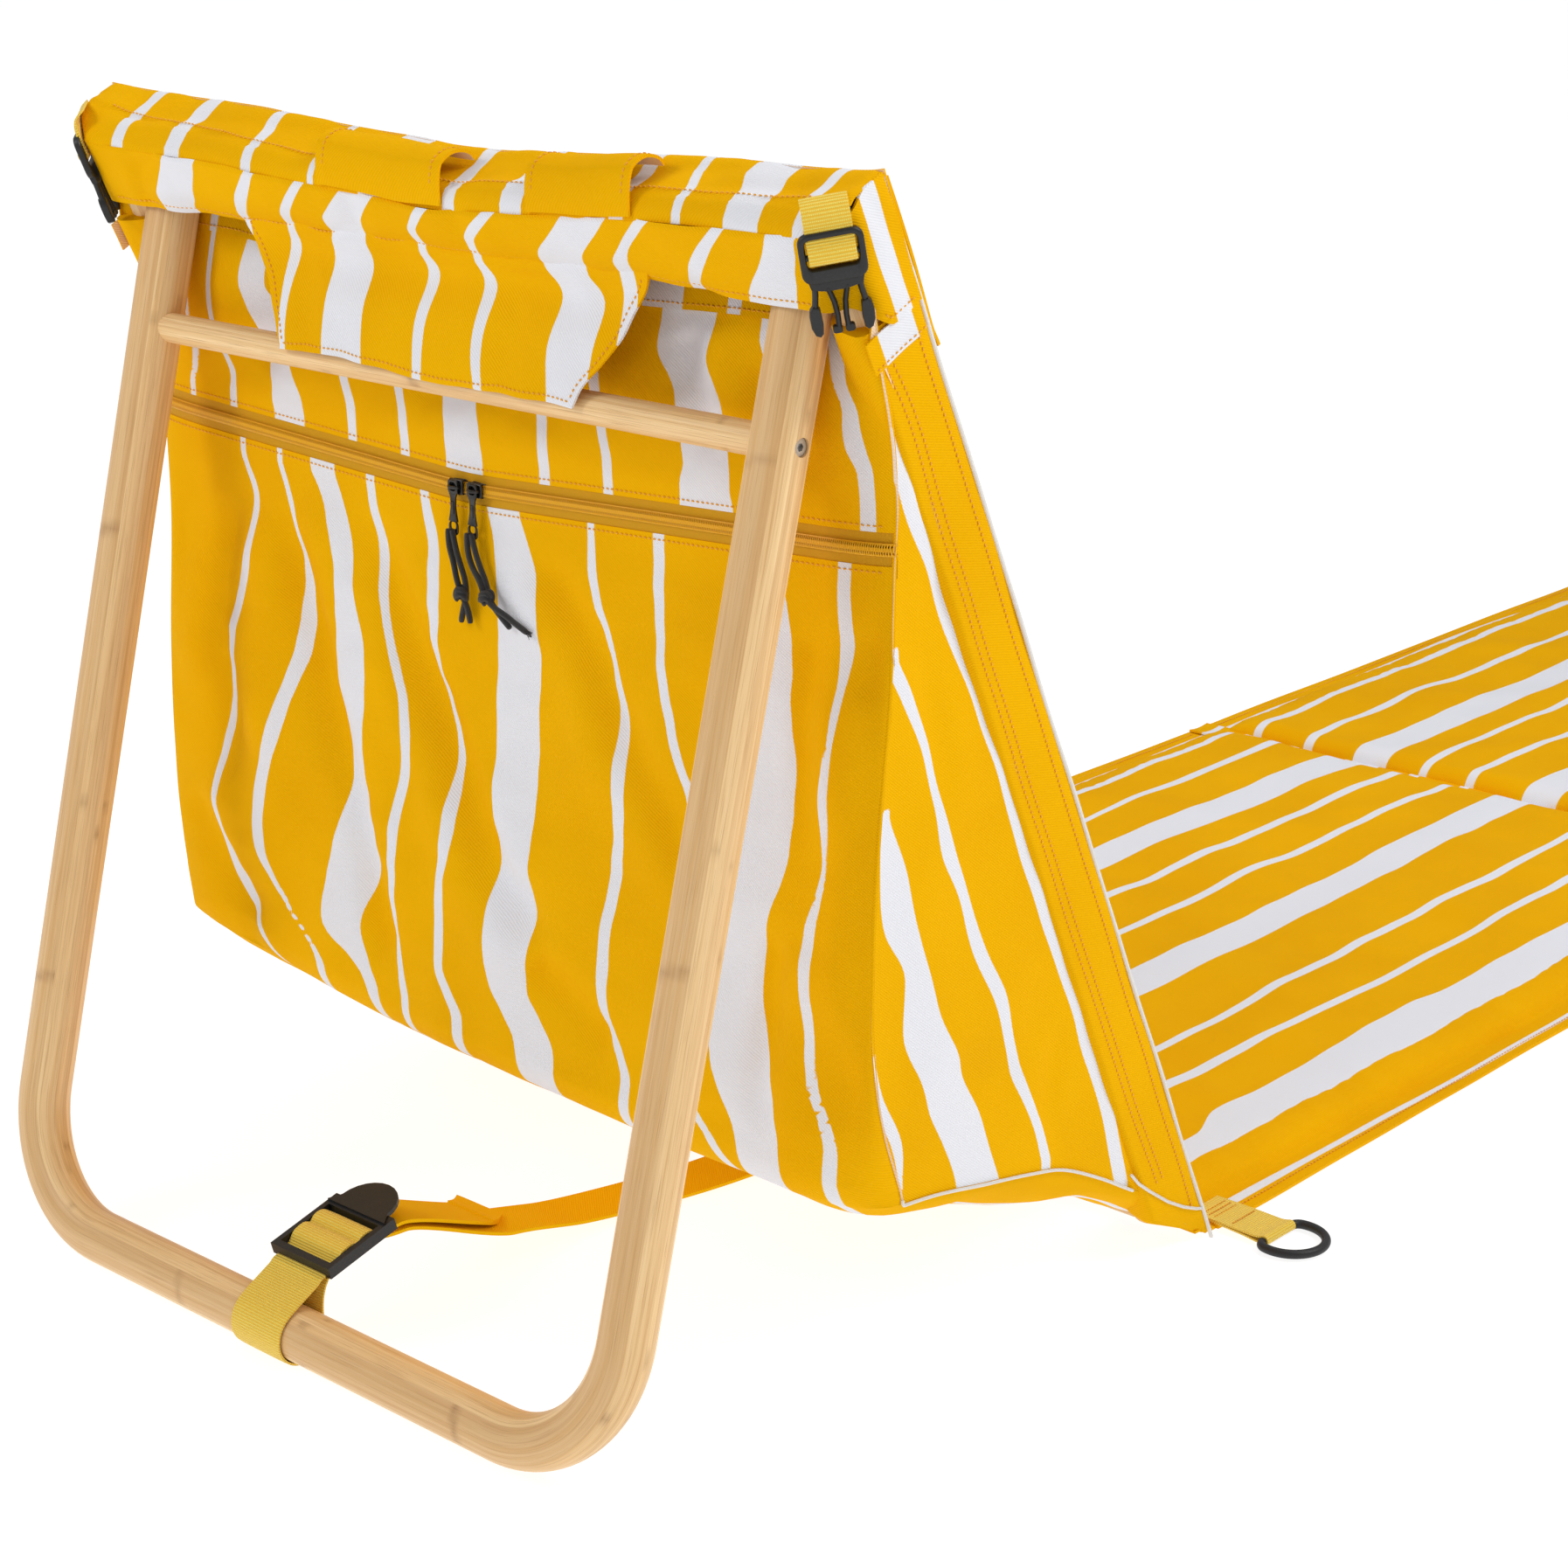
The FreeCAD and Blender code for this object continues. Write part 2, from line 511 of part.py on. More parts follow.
# fabric hinges: between the pads, and between mat and backrest
keep("mat_fold_strip", prism([(SEAT_Y1 - 0.1, 1.6), (SEAT_Y1 - 0.1, 4.6), (LEG_Y0 + 0.1, 4.6),
                              (LEG_Y0 + 0.1, 1.6)], -HW + 2, HW - 2, wp))
keep("base_hinge_strip", prism([(SEAT_Y0 + 0.1, 1.2), (SEAT_Y0 + 0.1, 3.4), (0.5, 5.4), (5.6, 16.0),
                                (7.2, 16.0), (4.0, 4.4), (1.0, 1.6)], -HW + 2, HW - 2, wp))

# ------------------------------------------------------ D-rings on the corners
RING_R = 2.75
RING_Y = -22.5
RING_X = 321.0                    # straight bar of the ring
RING_Z = RING_R + 0.1
BOW_R = 20.75                     # round bow
CORNER_R = 6.0                    # corners between bow and bar
bow_x = 9.25                      # bow centre past the bar
yc = math.sqrt((BOW_R - CORNER_R) ** 2 - (bow_x - CORNER_R) ** 2)
swing = math.degrees(math.acos((CORNER_R - bow_x) / (BOW_R - CORNER_R)))


def rp(x, y):
    return wp(RING_X + x, RING_Y + y, RING_Z)


def disc(p, normal):
    return Part.Face(Part.Wire([Part.Circle(p, normal, RING_R).toShape()]))


ZUP = V(0, 0, 1)
rad = math.radians(swing)
join = rp(bow_x + BOW_R * math.cos(rad), BOW_R * math.sin(rad))
ring_parts = [
    cyl(RING_R, rp(0, -yc), V(0, 1, 0), 2 * yc),
    disc(rp(0, yc), V(0, 1, 0)).revolve(rp(CORNER_R, yc), ZUP, -(180.0 - swing)),
    disc(rp(0, -yc), V(0, 1, 0)).revolve(rp(CORNER_R, -yc), ZUP, 180.0 - swing),
    disc(join, V(math.sin(rad), -math.cos(rad), 0)).revolve(rp(bow_x, 0), ZUP, -2 * swing),
]
ring = ring_parts[0]
for piece in ring_parts[1:]:
    ring = ring.fuse(piece)
wy0, wy1 = RING_Y - 14.5, RING_Y + 14.5
ro, ri = RING_R + 1.55, RING_R + 0.3
tube = Part.makeCylinder(ro, wy1 - wy0, wp(RING_X, wy0, RING_Z), V(0, 1, 0))
hole = Part.makeCylinder(ri, wy1 - wy0 + 2, wp(RING_X, wy0 - 1, RING_Z), V(0, 1, 0))
# ribbed webbing: sewn on the mat's hem, round the ring's bar and back
tail = Part.makeBox(319.0 - 268.0, wy1 - wy0, 2.5, wp(268.0, wy0, 3.1))
ring_web = above_floor(fuse(tube, tail).cut(hole), 0.05)
keep("d_ring_left", ring)
keep("d_ring_right", ring.mirror(V(0, 0, 0), X))
keep("d_ring_webbing_left", ring_web)
keep("d_ring_webbing_right", ring_web.mirror(V(0, 0, 0), X))

# -------------------------------------- floor bar loop, ladder-lock and strap
BC = lp(0, 0, 0)
LX = 10.0                         # middle of loop, buckle and strap
WEB = 1.3
wx0, wx1 = LX - 20.5, LX + 20.5
ro, ri = LR + 0.05 + WEB, LR + 0.05
loop = cylx(ro, wx0, wx1, BC)
# the two layers leave the bar forward and upward
TH = math.radians(28.0)
DF = V(0, -math.cos(TH), math.sin(TH))
NF = V(0, math.sin(TH), math.cos(TH))
top_t = BC + NF * ri
neck = obox(V(wx0, top_t.y, top_t.z), X, DF, NF, wx1 - wx0, 40.0, WEB)
nk2 = poly([V(wx0, (BC + NF * ri + DF * 18).y, (BC + NF * ri + DF * 18).z),
            V(wx0, (BC + NF * -ri + DF * 0).y, (BC + NF * -ri + DF * 0).z),
            V(wx0, (BC + NF * -ro + DF * 0).y, (BC + NF * -ro + DF * 0).z),
            V(wx0, (BC + NF * -ro + DF * 2).y, (BC + NF * -ro + DF * 2).z),
            V(wx0, (BC + NF * (ri - 1.2) + DF * 30).y, (BC + NF * (ri - 1.2) + DF * 30).z),
            V(wx0, (BC + NF * ri + DF * 30).y, (BC + NF * ri + DF * 30).z)]).extrude(V(wx1 - wx0, 0, 0))
web = fuse(loop, neck, nk2).cut(cylx(ri, wx0 - 2, wx1 + 2, BC))
# the buckle lies at the end of the neck, in its plane
BO = BC + NF * (ri + 0.0) + DF * 29.0
TF = math.radians(15.0)
BD = V(0, -math.cos(TF), math.sin(TF))
BN = V(0, math.sin(TF), math.cos(TF))


def kb(x0, x1, d0, d1, n0, n1):
    o = BO + BD * d0 + BN * n0
    return obox(V(LX + x0, o.y, o.z), X, BD, BN, x1 - x0, d1 - d0, n1 - n0)


body = kb(-24.5, 24.5, 0, 50, 1.5, 8.5)
body = body.cut(kb(-20.9, 20.9, 4.5, 41.0, 0, 12))
bars = [kb(-21.5, 21.5, 16.5, 21.0, 3.2, 7.0), kb(-21.5, 21.5, 30.0, 34.5, 3.2, 7.0)]
tab_pts = []
for k in range(0, 13):
    an = math.pi * k / 12
    tab_pts.append((19.0 * math.cos(an), 50.0 + 19.0 * math.sin(an)))
tab_face = poly([V(LX + x, (BO + BD * d + BN * 7.2).y, (BO + BD * d + BN * 7.2).z)
                 for x, d in [(24.0, 43.0)] + tab_pts + [(-24.0, 43.0)]])
tab = tab_face.extrude(BN * 2.6)
keep("ladder_lock_buckle", fuse(body, tab, *bars))
# webbing woven over the two bars: it lies on them and dips between
weave = [(9.0, 1.1), (14.0, 7.4), (24.0, 7.4), (25.2, 4.4), (27.0, 4.4), (28.4, 7.4),
         (36.0, 7.4), (39.6, 1.1)]


def kp(x, d, n):
    o = BO + BD * d + BN * n
    return V(LX + x, o.y, o.z)


low = inset(weave, -WEB)
wv = poly([kp(-19.6, d, n) for d, n in weave] +
          [kp(-19.6, d, n) for d, n in low[::-1]]).extrude(V(39.2, 0, 0))
join = poly([kp(-19.6, -6.0, -0.6), kp(-19.6, 10.4, -0.6), kp(-19.6, 10.4, 1.35), kp(-19.6, 8.0, 1.3),
             kp(-19.6, -6.0, 0.7)]).extrude(V(39.2, 0, 0))
web = fuse(web, join, wv)
keep("bar_webbing", above_floor(web.cut(fuse(body, tab, *bars)), 0.05))

# recline strap: from the foot of the bag just over the floor, up into the
# buckle; its hemmed tail comes back out of the buckle and lies on the strap
SX0, SX1 = LX - 19.5, LX + 19.5
e = kp(0, 44.0, -1.4) - V(0, Y0, 0)
f = kp(0, 60.0, -6.0) - V(0, Y0, 0)
run = [(46.0, 18.0), (70.0, 9.0), (105.0, 4.2), (262.0, 4.2), (320.0, 17.0), (f.y, f.z), (e.y, e.z)]
over = inset(run, -2.0)
low_side = [(y, z) for y, z in run]
if over[2][1] < low_side[2][1]:
    over = inset(run, 2.0)
face = poly([wp(SX0, y, z) for y, z in low_side] + [wp(SX0, y, z) for y, z in over[::-1]])
strap = face.extrude(V(SX1 - SX0, 0, 0))
tail_run = [(292.0, 14.6), (322.0, 22.4), (f.y - 6.0, f.z + 3.4)]
tail_over = inset(tail_run, -1.6)
if tail_over[1][1] < tail_run[1][1]:
    tail_over = inset(tail_run, 1.6)
tail = poly([wp(SX0, y, z) for y, z in tail_run] + [wp(SX0, y, z) for y, z in tail_over[::-1]])
keep("recline_strap", strap)
keep("strap_tail", tail.extrude(V(SX1 - SX0, 0, 0)))

# ------------------------------------------------------------------- write
os.makedirs("parts", exist_ok=True)
whole = None
for name, shape in NODES.items():
    if not shape.isValid():
        print("INVALID", name)
    for s in shape.Solids:
        if s.Volume < 1:
            print("SMALL", name, s.Volume)
    shape.exportStep("parts/%s.step" % name)
    box = shape.BoundBox
    whole = box if whole is None else whole.united(box)
    print("%-24s solids %d  x %.1f..%.1f  y %.1f..%.1f  z %.1f..%.1f  vol %.0f" % (
        name, len(shape.Solids), box.XMin, box.XMax, box.YMin, box.YMax, box.ZMin, box.ZMax,
        shape.Volume))
print("whole x %.2f..%.2f  y %.2f..%.2f  z %.2f..%.2f" % (
    whole.XMin, whole.XMax, whole.YMin, whole.YMax, whole.ZMin, whole.ZMax))
print("pivot", PIV_S, PIV_A, PIVOT)
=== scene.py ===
"""Looks of a bamboo folding recliner: a striped padded mat on the floor, a
backrest with a zipped wedge bag behind it, and a bent bamboo prop frame.

Lengths here are millimetres in the part's frame until a mesh is made.
"""
import math
import random

import bmesh
import bpy
import numpy as np
from mathutils import Matrix, Vector


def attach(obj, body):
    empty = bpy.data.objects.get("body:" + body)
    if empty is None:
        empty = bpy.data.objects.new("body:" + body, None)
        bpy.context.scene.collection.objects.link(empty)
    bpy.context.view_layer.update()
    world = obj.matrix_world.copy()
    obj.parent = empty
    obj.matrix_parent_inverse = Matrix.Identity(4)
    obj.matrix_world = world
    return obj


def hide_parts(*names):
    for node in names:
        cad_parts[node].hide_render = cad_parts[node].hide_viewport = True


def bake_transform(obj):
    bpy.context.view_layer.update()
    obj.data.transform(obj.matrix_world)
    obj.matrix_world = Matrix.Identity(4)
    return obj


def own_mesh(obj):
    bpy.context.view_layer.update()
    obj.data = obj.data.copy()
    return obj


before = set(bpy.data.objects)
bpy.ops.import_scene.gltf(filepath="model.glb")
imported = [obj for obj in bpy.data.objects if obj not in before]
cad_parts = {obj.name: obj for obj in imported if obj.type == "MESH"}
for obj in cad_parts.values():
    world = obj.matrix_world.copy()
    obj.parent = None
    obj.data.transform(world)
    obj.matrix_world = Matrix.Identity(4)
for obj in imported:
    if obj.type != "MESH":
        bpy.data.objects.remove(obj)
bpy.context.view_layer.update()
random.seed(11)

# ------------------------------------------------------------------ frames
Y0 = 514.6
SB, CB = math.sin(math.radians(25.0)), math.cos(math.radians(25.0))
ST, CT = math.sin(math.radians(14.9)), math.cos(math.radians(14.9))
BAR_Y, BAR_Z, LEG_X = 454.4, 15.3, 241.4


def arr(*vs):
    return np.broadcast_arrays(*[np.asarray(v, float) for v in vs])


def bp(x, a, r):
    """Backrest: a runs up its front face, r is the depth behind it."""
    x, a, r = arr(x, a, r)
    return np.stack([x, Y0 + a * SB + r * CB, a * CB - r * SB], -1)


def lp(x, s, q):
    x, s, q = arr(x, s, q)
    return np.stack([x, Y0 + BAR_Y - s * ST + q * CT, BAR_Z + s * CT + q * ST], -1)


def wp(x, y, z):
    x, y, z = arr(x, y, z)
    return np.stack([x, Y0 + y, z], -1)


def to_ar(y, z):
    return y * SB + z * CB, y * CB - z * SB


UB = np.array([0, SB, CB])
NB = np.array([0, CB, -SB])
UL = np.array([0, -ST, CT])
NL = np.array([0, CT, ST])
EX = np.array([1.0, 0, 0])
DA, DR = -0.894427, 0.447214
NA, NR = 0.447214, 0.894427
ZC = (534.8, 72.1)
MEET, RISE = 11.0, 0.048


def zp(x, down, out):
    x, down, out = arr(x, down, out)
    return bp(x, ZC[0] + DA * down + NA * out, ZC[1] + DR * down + NR * out)


ZD = (zp(0, 1, 0) - zp(0, 0, 0))
ZN = (zp(0, 0, 1) - zp(0, 0, 0))


def ss(x):
    x = np.clip(x, 0, 1)
    return x * x * (3 - 2 * x)


def curve1(x, xs, ys):
    """Smooth curve through a few knots, level beyond the ends."""
    xs, ys = np.asarray(xs, float), np.asarray(ys, float)
    if xs[0] > xs[-1]:
        xs, ys = xs[::-1], ys[::-1]
    if len(xs) == 1:
        return np.full(np.shape(x), ys[0])
    d = np.diff(ys) / np.diff(xs)
    m = np.concatenate([[d[0]], (d[1:] + d[:-1]) / 2, [d[-1]]])
    flat = np.concatenate([[False], d[1:] * d[:-1] <= 0, [False]])
    m = np.where(flat, 0.35 * m, m)
    x = np.clip(np.asarray(x, float), xs[0], xs[-1])
    i = np.clip(np.searchsorted(xs, x) - 1, 0, len(xs) - 2)
    h = xs[i + 1] - xs[i]
    t = (x - xs[i]) / h
    return ((2 * t ** 3 - 3 * t ** 2 + 1) * ys[i] + (t ** 3 - 2 * t ** 2 + t) * h * m[i]
            + (-2 * t ** 3 + 3 * t ** 2) * ys[i + 1] + (t ** 3 - t ** 2) * h * m[i + 1])


class Waves:
    """Soft seeded unevenness: a few sines in the plane, about -1 to 1."""

    def __init__(self, seed, scale, n=7):
        rnd = random.Random(seed)
        self.k = []
        for _ in range(n):
            an, le = rnd.uniform(0, math.pi), scale * rnd.uniform(0.6, 1.7)
            self.k.append((math.cos(an) / le * 2 * math.pi, math.sin(an) / le * 2 * math.pi,
                           rnd.uniform(0, 6.28), rnd.uniform(0.5, 1.0)))
        self.n = sum(v[3] for v in self.k)

    def __call__(self, u, v):
        return sum(w * np.sin(a * u + b * v + p) for a, b, p, w in self.k) / self.n * 1.8


def line_dist(u, v, pts):
    """Signed distance to a polyline, and how far along it (0 to 1)."""
    best = np.full(np.shape(u), 1e9)
    sign = np.ones(np.shape(u))
    along = np.zeros(np.shape(u))
    n = len(pts) - 1
    for k in range(n):
        (x0, y0), (x1, y1) = pts[k], pts[k + 1]
        dx, dy = x1 - x0, y1 - y0
        t = ((u - x0) * dx + (v - y0) * dy) / (dx * dx + dy * dy)
        tc = np.clip(t, 0, 1)
        px, py = x0 + dx * tc, y0 + dy * tc
        d = np.hypot(u - px, v - py)
        m = d < best
        best = np.where(m, d, best)
        sign = np.where(m, np.sign((u - x0) * dy - (v - y0) * dx), sign)
        along = np.where(m, (k + tc) / n, along)
    return best * sign, along


def fold(u, v, pts, amp, sigma, side=0.0, gap=2.2):
    """A soft crease along a line: a valley, and a ridge beside it."""
    d, t = line_dist(u, v, pts)
    ends = ss(np.minimum(t, 1 - t) * 5 + 0.15)
    out = -amp * np.exp(-(d / sigma) ** 2) * ends
    if side:
        out = out + side * np.exp(-((d - gap * sigma * np.sign(side) * 1.0) / (sigma * 1.3)) ** 2) * ends * np.sign(side)
    return out


def stripes(u, v, table):
    """Signed distance to the nearest white stripe, below zero inside one."""
    d = np.full(np.shape(u), 60.0)
    for rows in table:
        vs = [r[0] for r in rows]
        a = curve1(v, vs, [min(r[1], r[2]) for r in rows])
        b = curve1(v, vs, [max(r[1], r[2]) for r in rows])
        c, h = (a + b) / 2, np.maximum((b - a) / 2, 2.3)
        a, b = c - h, c + h
        d = np.minimum(d, np.maximum(a - u, u - b))
    return d


def straight(items, seed, v0, v1, drift=3.0, step=70.0):
    """Printed stripes that wander a little: items are (middle, width)."""
    rnd = random.Random(seed)
    table = []
    for c, w in items:
        rows, v, off = [], v0, 0.0
        while v <= v1 + step:
            off = off * 0.6 + rnd.uniform(-drift, drift)
            ww = w * rnd.uniform(0.86, 1.16) if w < 15 else w * rnd.uniform(0.93, 1.07)
            rows.append((v, c + off - ww / 2, c + off + ww / 2))
            v += step * rnd.uniform(0.8, 1.2)
        table.append(rows)
    return table


# ------------------------------------------------------------- mesh makers
def normals(P):
    du = np.gradient(P, axis=1)
    dv = np.gradient(P, axis=0)
    n = np.cross(du, dv)
    ln = np.linalg.norm(n, axis=-1, keepdims=True)
    return n / np.maximum(ln, 1e-9)


class Shell:
    """Collects grids of points with cloth coordinates and a print value."""

    def __init__(self):
        self.v, self.uv, self.pt, self.f, self.m = [], [], [], [], []
        self.n = 0

    def add(self, verts, faces, uv=None, pt=None, mat=0):
        verts = np.asarray(verts, float).reshape(-1, 3)
        k = len(verts)
        self.v.append(verts)
        self.uv.append(np.zeros((k, 2)) if uv is None else np.asarray(uv, float).reshape(-1, 2))
        self.pt.append(np.tile([60.0, 0.0], (k, 1)) if pt is None else np.asarray(pt, float).reshape(-1, 2))
        self.f += [tuple(i + self.n for i in f) for f in faces]
        self.m += [mat] * len(faces)
        self.n += k

    def grid(self, P, U=None, V=None, D=None, flag=0.0, flip=False, mat=0, wrap=False):
        nv, nu = P.shape[:2]
        if U is None:
            U = np.concatenate([[0], np.cumsum(np.linalg.norm(np.diff(P[nv // 2], axis=0), axis=-1))])[None, :]
        if V is None:
            V = np.concatenate([[0], np.cumsum(np.linalg.norm(np.diff(P[:, nu // 2], axis=0), axis=-1))])[:, None]
        U, V = np.broadcast_to(U, (nv, nu)), np.broadcast_to(V, (nv, nu))
        D = np.full((nv, nu), 60.0) if D is None else np.broadcast_to(D, (nv, nu))
        F = np.broadcast_to(np.asarray(flag, float), (nv, nu))
        faces = []
        cols = nu if wrap else nu - 1
        for i in range(nv - 1):
            a = i * nu
            for j in range(cols):
                j1 = (j + 1) % nu
                q = (a + j, a + j1, a + nu + j1, a + nu + j)
                faces.append(q[::-1] if flip else q)
        self.add(P.reshape(-1, 3), faces, np.stack([U, V], -1), np.stack([D, F], -1), mat)

    def thick(self, P, t, U=None, V=None, D=None, flip=False, mat=0, back=1.0, edge=0.0):
        """A sheet of cloth: its face, its reverse and its cut edges."""
        n = normals(P) * (-1 if flip else 1)
        Q = P - n * t
        self.grid(P, U, V, D, 0.0, flip, mat)
        self.grid(Q, U, V, D, back, not flip, mat)
        nv, nu = P.shape[:2]
        if U is None:
            U = np.concatenate([[0], np.cumsum(np.linalg.norm(np.diff(P[nv // 2], axis=0), axis=-1))])[None, :]
        if V is None:
            V = np.concatenate([[0], np.cumsum(np.linalg.norm(np.diff(P[:, nu // 2], axis=0), axis=-1))])[:, None]
        U, V = np.broadcast_to(U, (nv, nu)), np.broadcast_to(V, (nv, nu))
        D = np.full((nv, nu), 60.0) if D is None else np.broadcast_to(D, (nv, nu))
        for sl, fl in ((np.s_[0, :], False), (np.s_[-1, :], True)):
            self.grid(np.stack([Q[sl], P[sl]]), np.stack([U[sl]] * 2), np.stack([V[sl], V[sl] + t]),
                      np.stack([D[sl]] * 2), edge, fl ^ flip, mat)
        for sl, fl in ((np.s_[:, 0], True), (np.s_[:, -1], False)):
            self.grid(np.stack([Q[sl], P[sl]]), np.stack([U[sl], U[sl] + t]), np.stack([V[sl]] * 2),
                      np.stack([D[sl]] * 2), edge, fl ^ flip, mat)

    def tube(self, pts, radius, n=10, ends=True, flat=1.0, up=None, mat=0, D=None, scale=None, wave=None):
        """A round (or flattened) tube along a line of points."""
        pts = np.asarray(pts, float)
        T = np.gradient(pts, axis=0)
        T /= np.linalg.norm(T, axis=1, keepdims=True)
        ref = np.array([0, 0, 1.0]) if up is None else np.asarray(up, float)
        A = []
        a = np.cross(T[0], ref)
        if np.linalg.norm(a) < 1e-3:
            a = np.cross(T[0], [1.0, 0, 0])
        a /= np.linalg.norm(a)
        for t in T:
            a = a - t * (a @ t)
            a /= np.linalg.norm(a)
            A.append(a)
        A = np.array(A)
        B = np.cross(T, A)
        th = np.linspace(0, 2 * math.pi, n, endpoint=False)
        sc = np.ones(len(pts)) if scale is None else np.asarray(scale, float)
        R = radius * sc[:, None] * np.ones((1, n))
        s = np.concatenate([[0], np.cumsum(np.linalg.norm(np.diff(pts, axis=0), axis=1))])
        if wave is not None:
            R = R * wave(s[:, None], th[None, :])
        P = pts[:, None, :] + R[..., None] * (np.cos(th)[None, :, None] * A[:, None, :]
                                              + flat * np.sin(th)[None, :, None] * B[:, None, :])
        U = np.broadcast_to((th * radius)[None, :], R.shape)
        V = np.broadcast_to(s[:, None], R.shape)
        self.grid(P, U, V, D, 0.0, False, mat, wrap=True)
        if ends:
            base = self.n
            k = len(pts)
            first, last = base - k * n, base - n
            self.add([pts[0], pts[-1]], [])
            for j in range(n):
                j1 = (j + 1) % n
                self.f += [(base, first + j1, first + j), (base + 1, last + j, last + j1)]
                self.m += [mat] * 2
        return P

    def box(self, o, ex, ey, ez, sx, sy, sz, mat=0):
        """A box from a corner along three directions."""
        o, ex, ey, ez = [np.asarray(v, float) for v in (o, ex, ey, ez)]
        v = [o + ex * (sx * i) + ey * (sy * j) + ez * (sz * k) for i in (0, 1) for j in (0, 1) for k in (0, 1)]
        f = [(0, 1, 3, 2), (4, 6, 7, 5), (0, 4, 5, 1), (2, 3, 7, 6), (0, 2, 6, 4), (1, 5, 7, 3)]
        self.add(v, f, mat=mat)

    def build(self, name, mats, merge=0.0, angle=50.0, recalc=False, smooth=True):
        v = np.concatenate(self.v) * 0.001
        uv, pt = np.concatenate(self.uv), np.concatenate(self.pt)
        me = bpy.data.meshes.new(name)
        me.from_pydata(v.tolist(), [], self.f)
        loops = np.zeros(len(me.loops), np.int32)
        me.loops.foreach_get("vertex_index", loops)
        for nm, data in (("cloth", uv * 0.001), ("print", pt)):
            layer = me.uv_layers.new(name=nm)
            layer.data.foreach_set("uv", data[loops].astype(np.float32).ravel())
        me.polygons.foreach_set("material_index", np.array(self.m, np.int32))
        for m in mats if isinstance(mats, (list, tuple)) else [mats]:
            me.materials.append(m)
        if merge or recalc:
            bm = bmesh.new()
            bm.from_mesh(me)
            if merge:
                bmesh.ops.remove_doubles(bm, verts=bm.verts, dist=merge * 0.001)
            if recalc:
                bmesh.ops.recalc_face_normals(bm, faces=bm.faces)
            bm.to_mesh(me)
            bm.free()
        me.update()
        if smooth:
            me.shade_smooth()
            me.set_sharp_from_angle(angle=math.radians(angle))
        ob = bpy.data.objects.new(name, me)
        bpy.context.scene.collection.objects.link(ob)
        return ob


def resample(pts, pitch):
    pts = np.asarray(pts, float)
    s = np.concatenate([[0], np.cumsum(np.linalg.norm(np.diff(pts, axis=0), axis=1))])
    n = max(2, int(s[-1] / pitch))
    t = np.linspace(0, s[-1], n)
    return np.stack([np.interp(t, s, pts[:, k]) for k in range(3)], 1)


class Stitches:
    """Lines of single thread stitches, lying on the cloth."""

    def __init__(self):
        self.s = Shell()

    def line(self, pts, nrm, pitch=3.4, length=2.5, w=0.45, lift=0.3, seed=1):
        rnd = random.Random(seed)
        pts = np.asarray(pts, float)
        nrm = np.broadcast_to(np.asarray(nrm, float), pts.shape)
        s = np.concatenate([[0], np.cumsum(np.linalg.norm(np.diff(pts, axis=0), axis=1))])
        if s[-1] < pitch:
            return
        for t in np.arange(pitch / 2, s[-1] - pitch / 2, pitch):
            c, a, b = [np.array([np.interp(q, s, pts[:, k]) for k in range(3)])
                       for q in (t, t - length / 2, t + length / 2)]
            n = np.array([np.interp(t, s, nrm[:, k]) for k in range(3)])
            n /= np.linalg.norm(n)
            d = (b - a)
            d /= np.linalg.norm(d)
            side = np.cross(d, n)
            side /= np.linalg.norm(side)
            tilt = side * rnd.uniform(-0.12, 0.12) + side * 0.06
            h = length / 2
            verts = [c - d * h - tilt * h - n * 0.25]
            for q in (-0.45, 0.45):
                m = c + d * h * q + tilt * h * q + n * lift
                for k in range(6):
                    an = k * math.pi / 3
                    verts.append(m + side * (w * math.cos(an)) + n * (w * 0.8 * math.sin(an)))
            verts.append(c + d * h + tilt * h - n * 0.25)
            f = []
            for k in range(6):
                k1 = (k + 1) % 6
                f += [(0, 1 + k1, 1 + k), (1 + k, 1 + k1, 7 + k1, 7 + k), (7 + k, 7 + k1, 13)]
            self.s.add(verts, f)

    def build(self, name):
        return self.s.build(name, M["thread"], angle=80)


# --------------------------------------------------------------- materials
def srgb(r, g, b):
    return tuple(((c / 255) / 12.92 if c / 255 <= 0.04045 else ((c / 255 + 0.055) / 1.055) ** 2.4)
                 for c in (r, g, b)) + (1.0,)


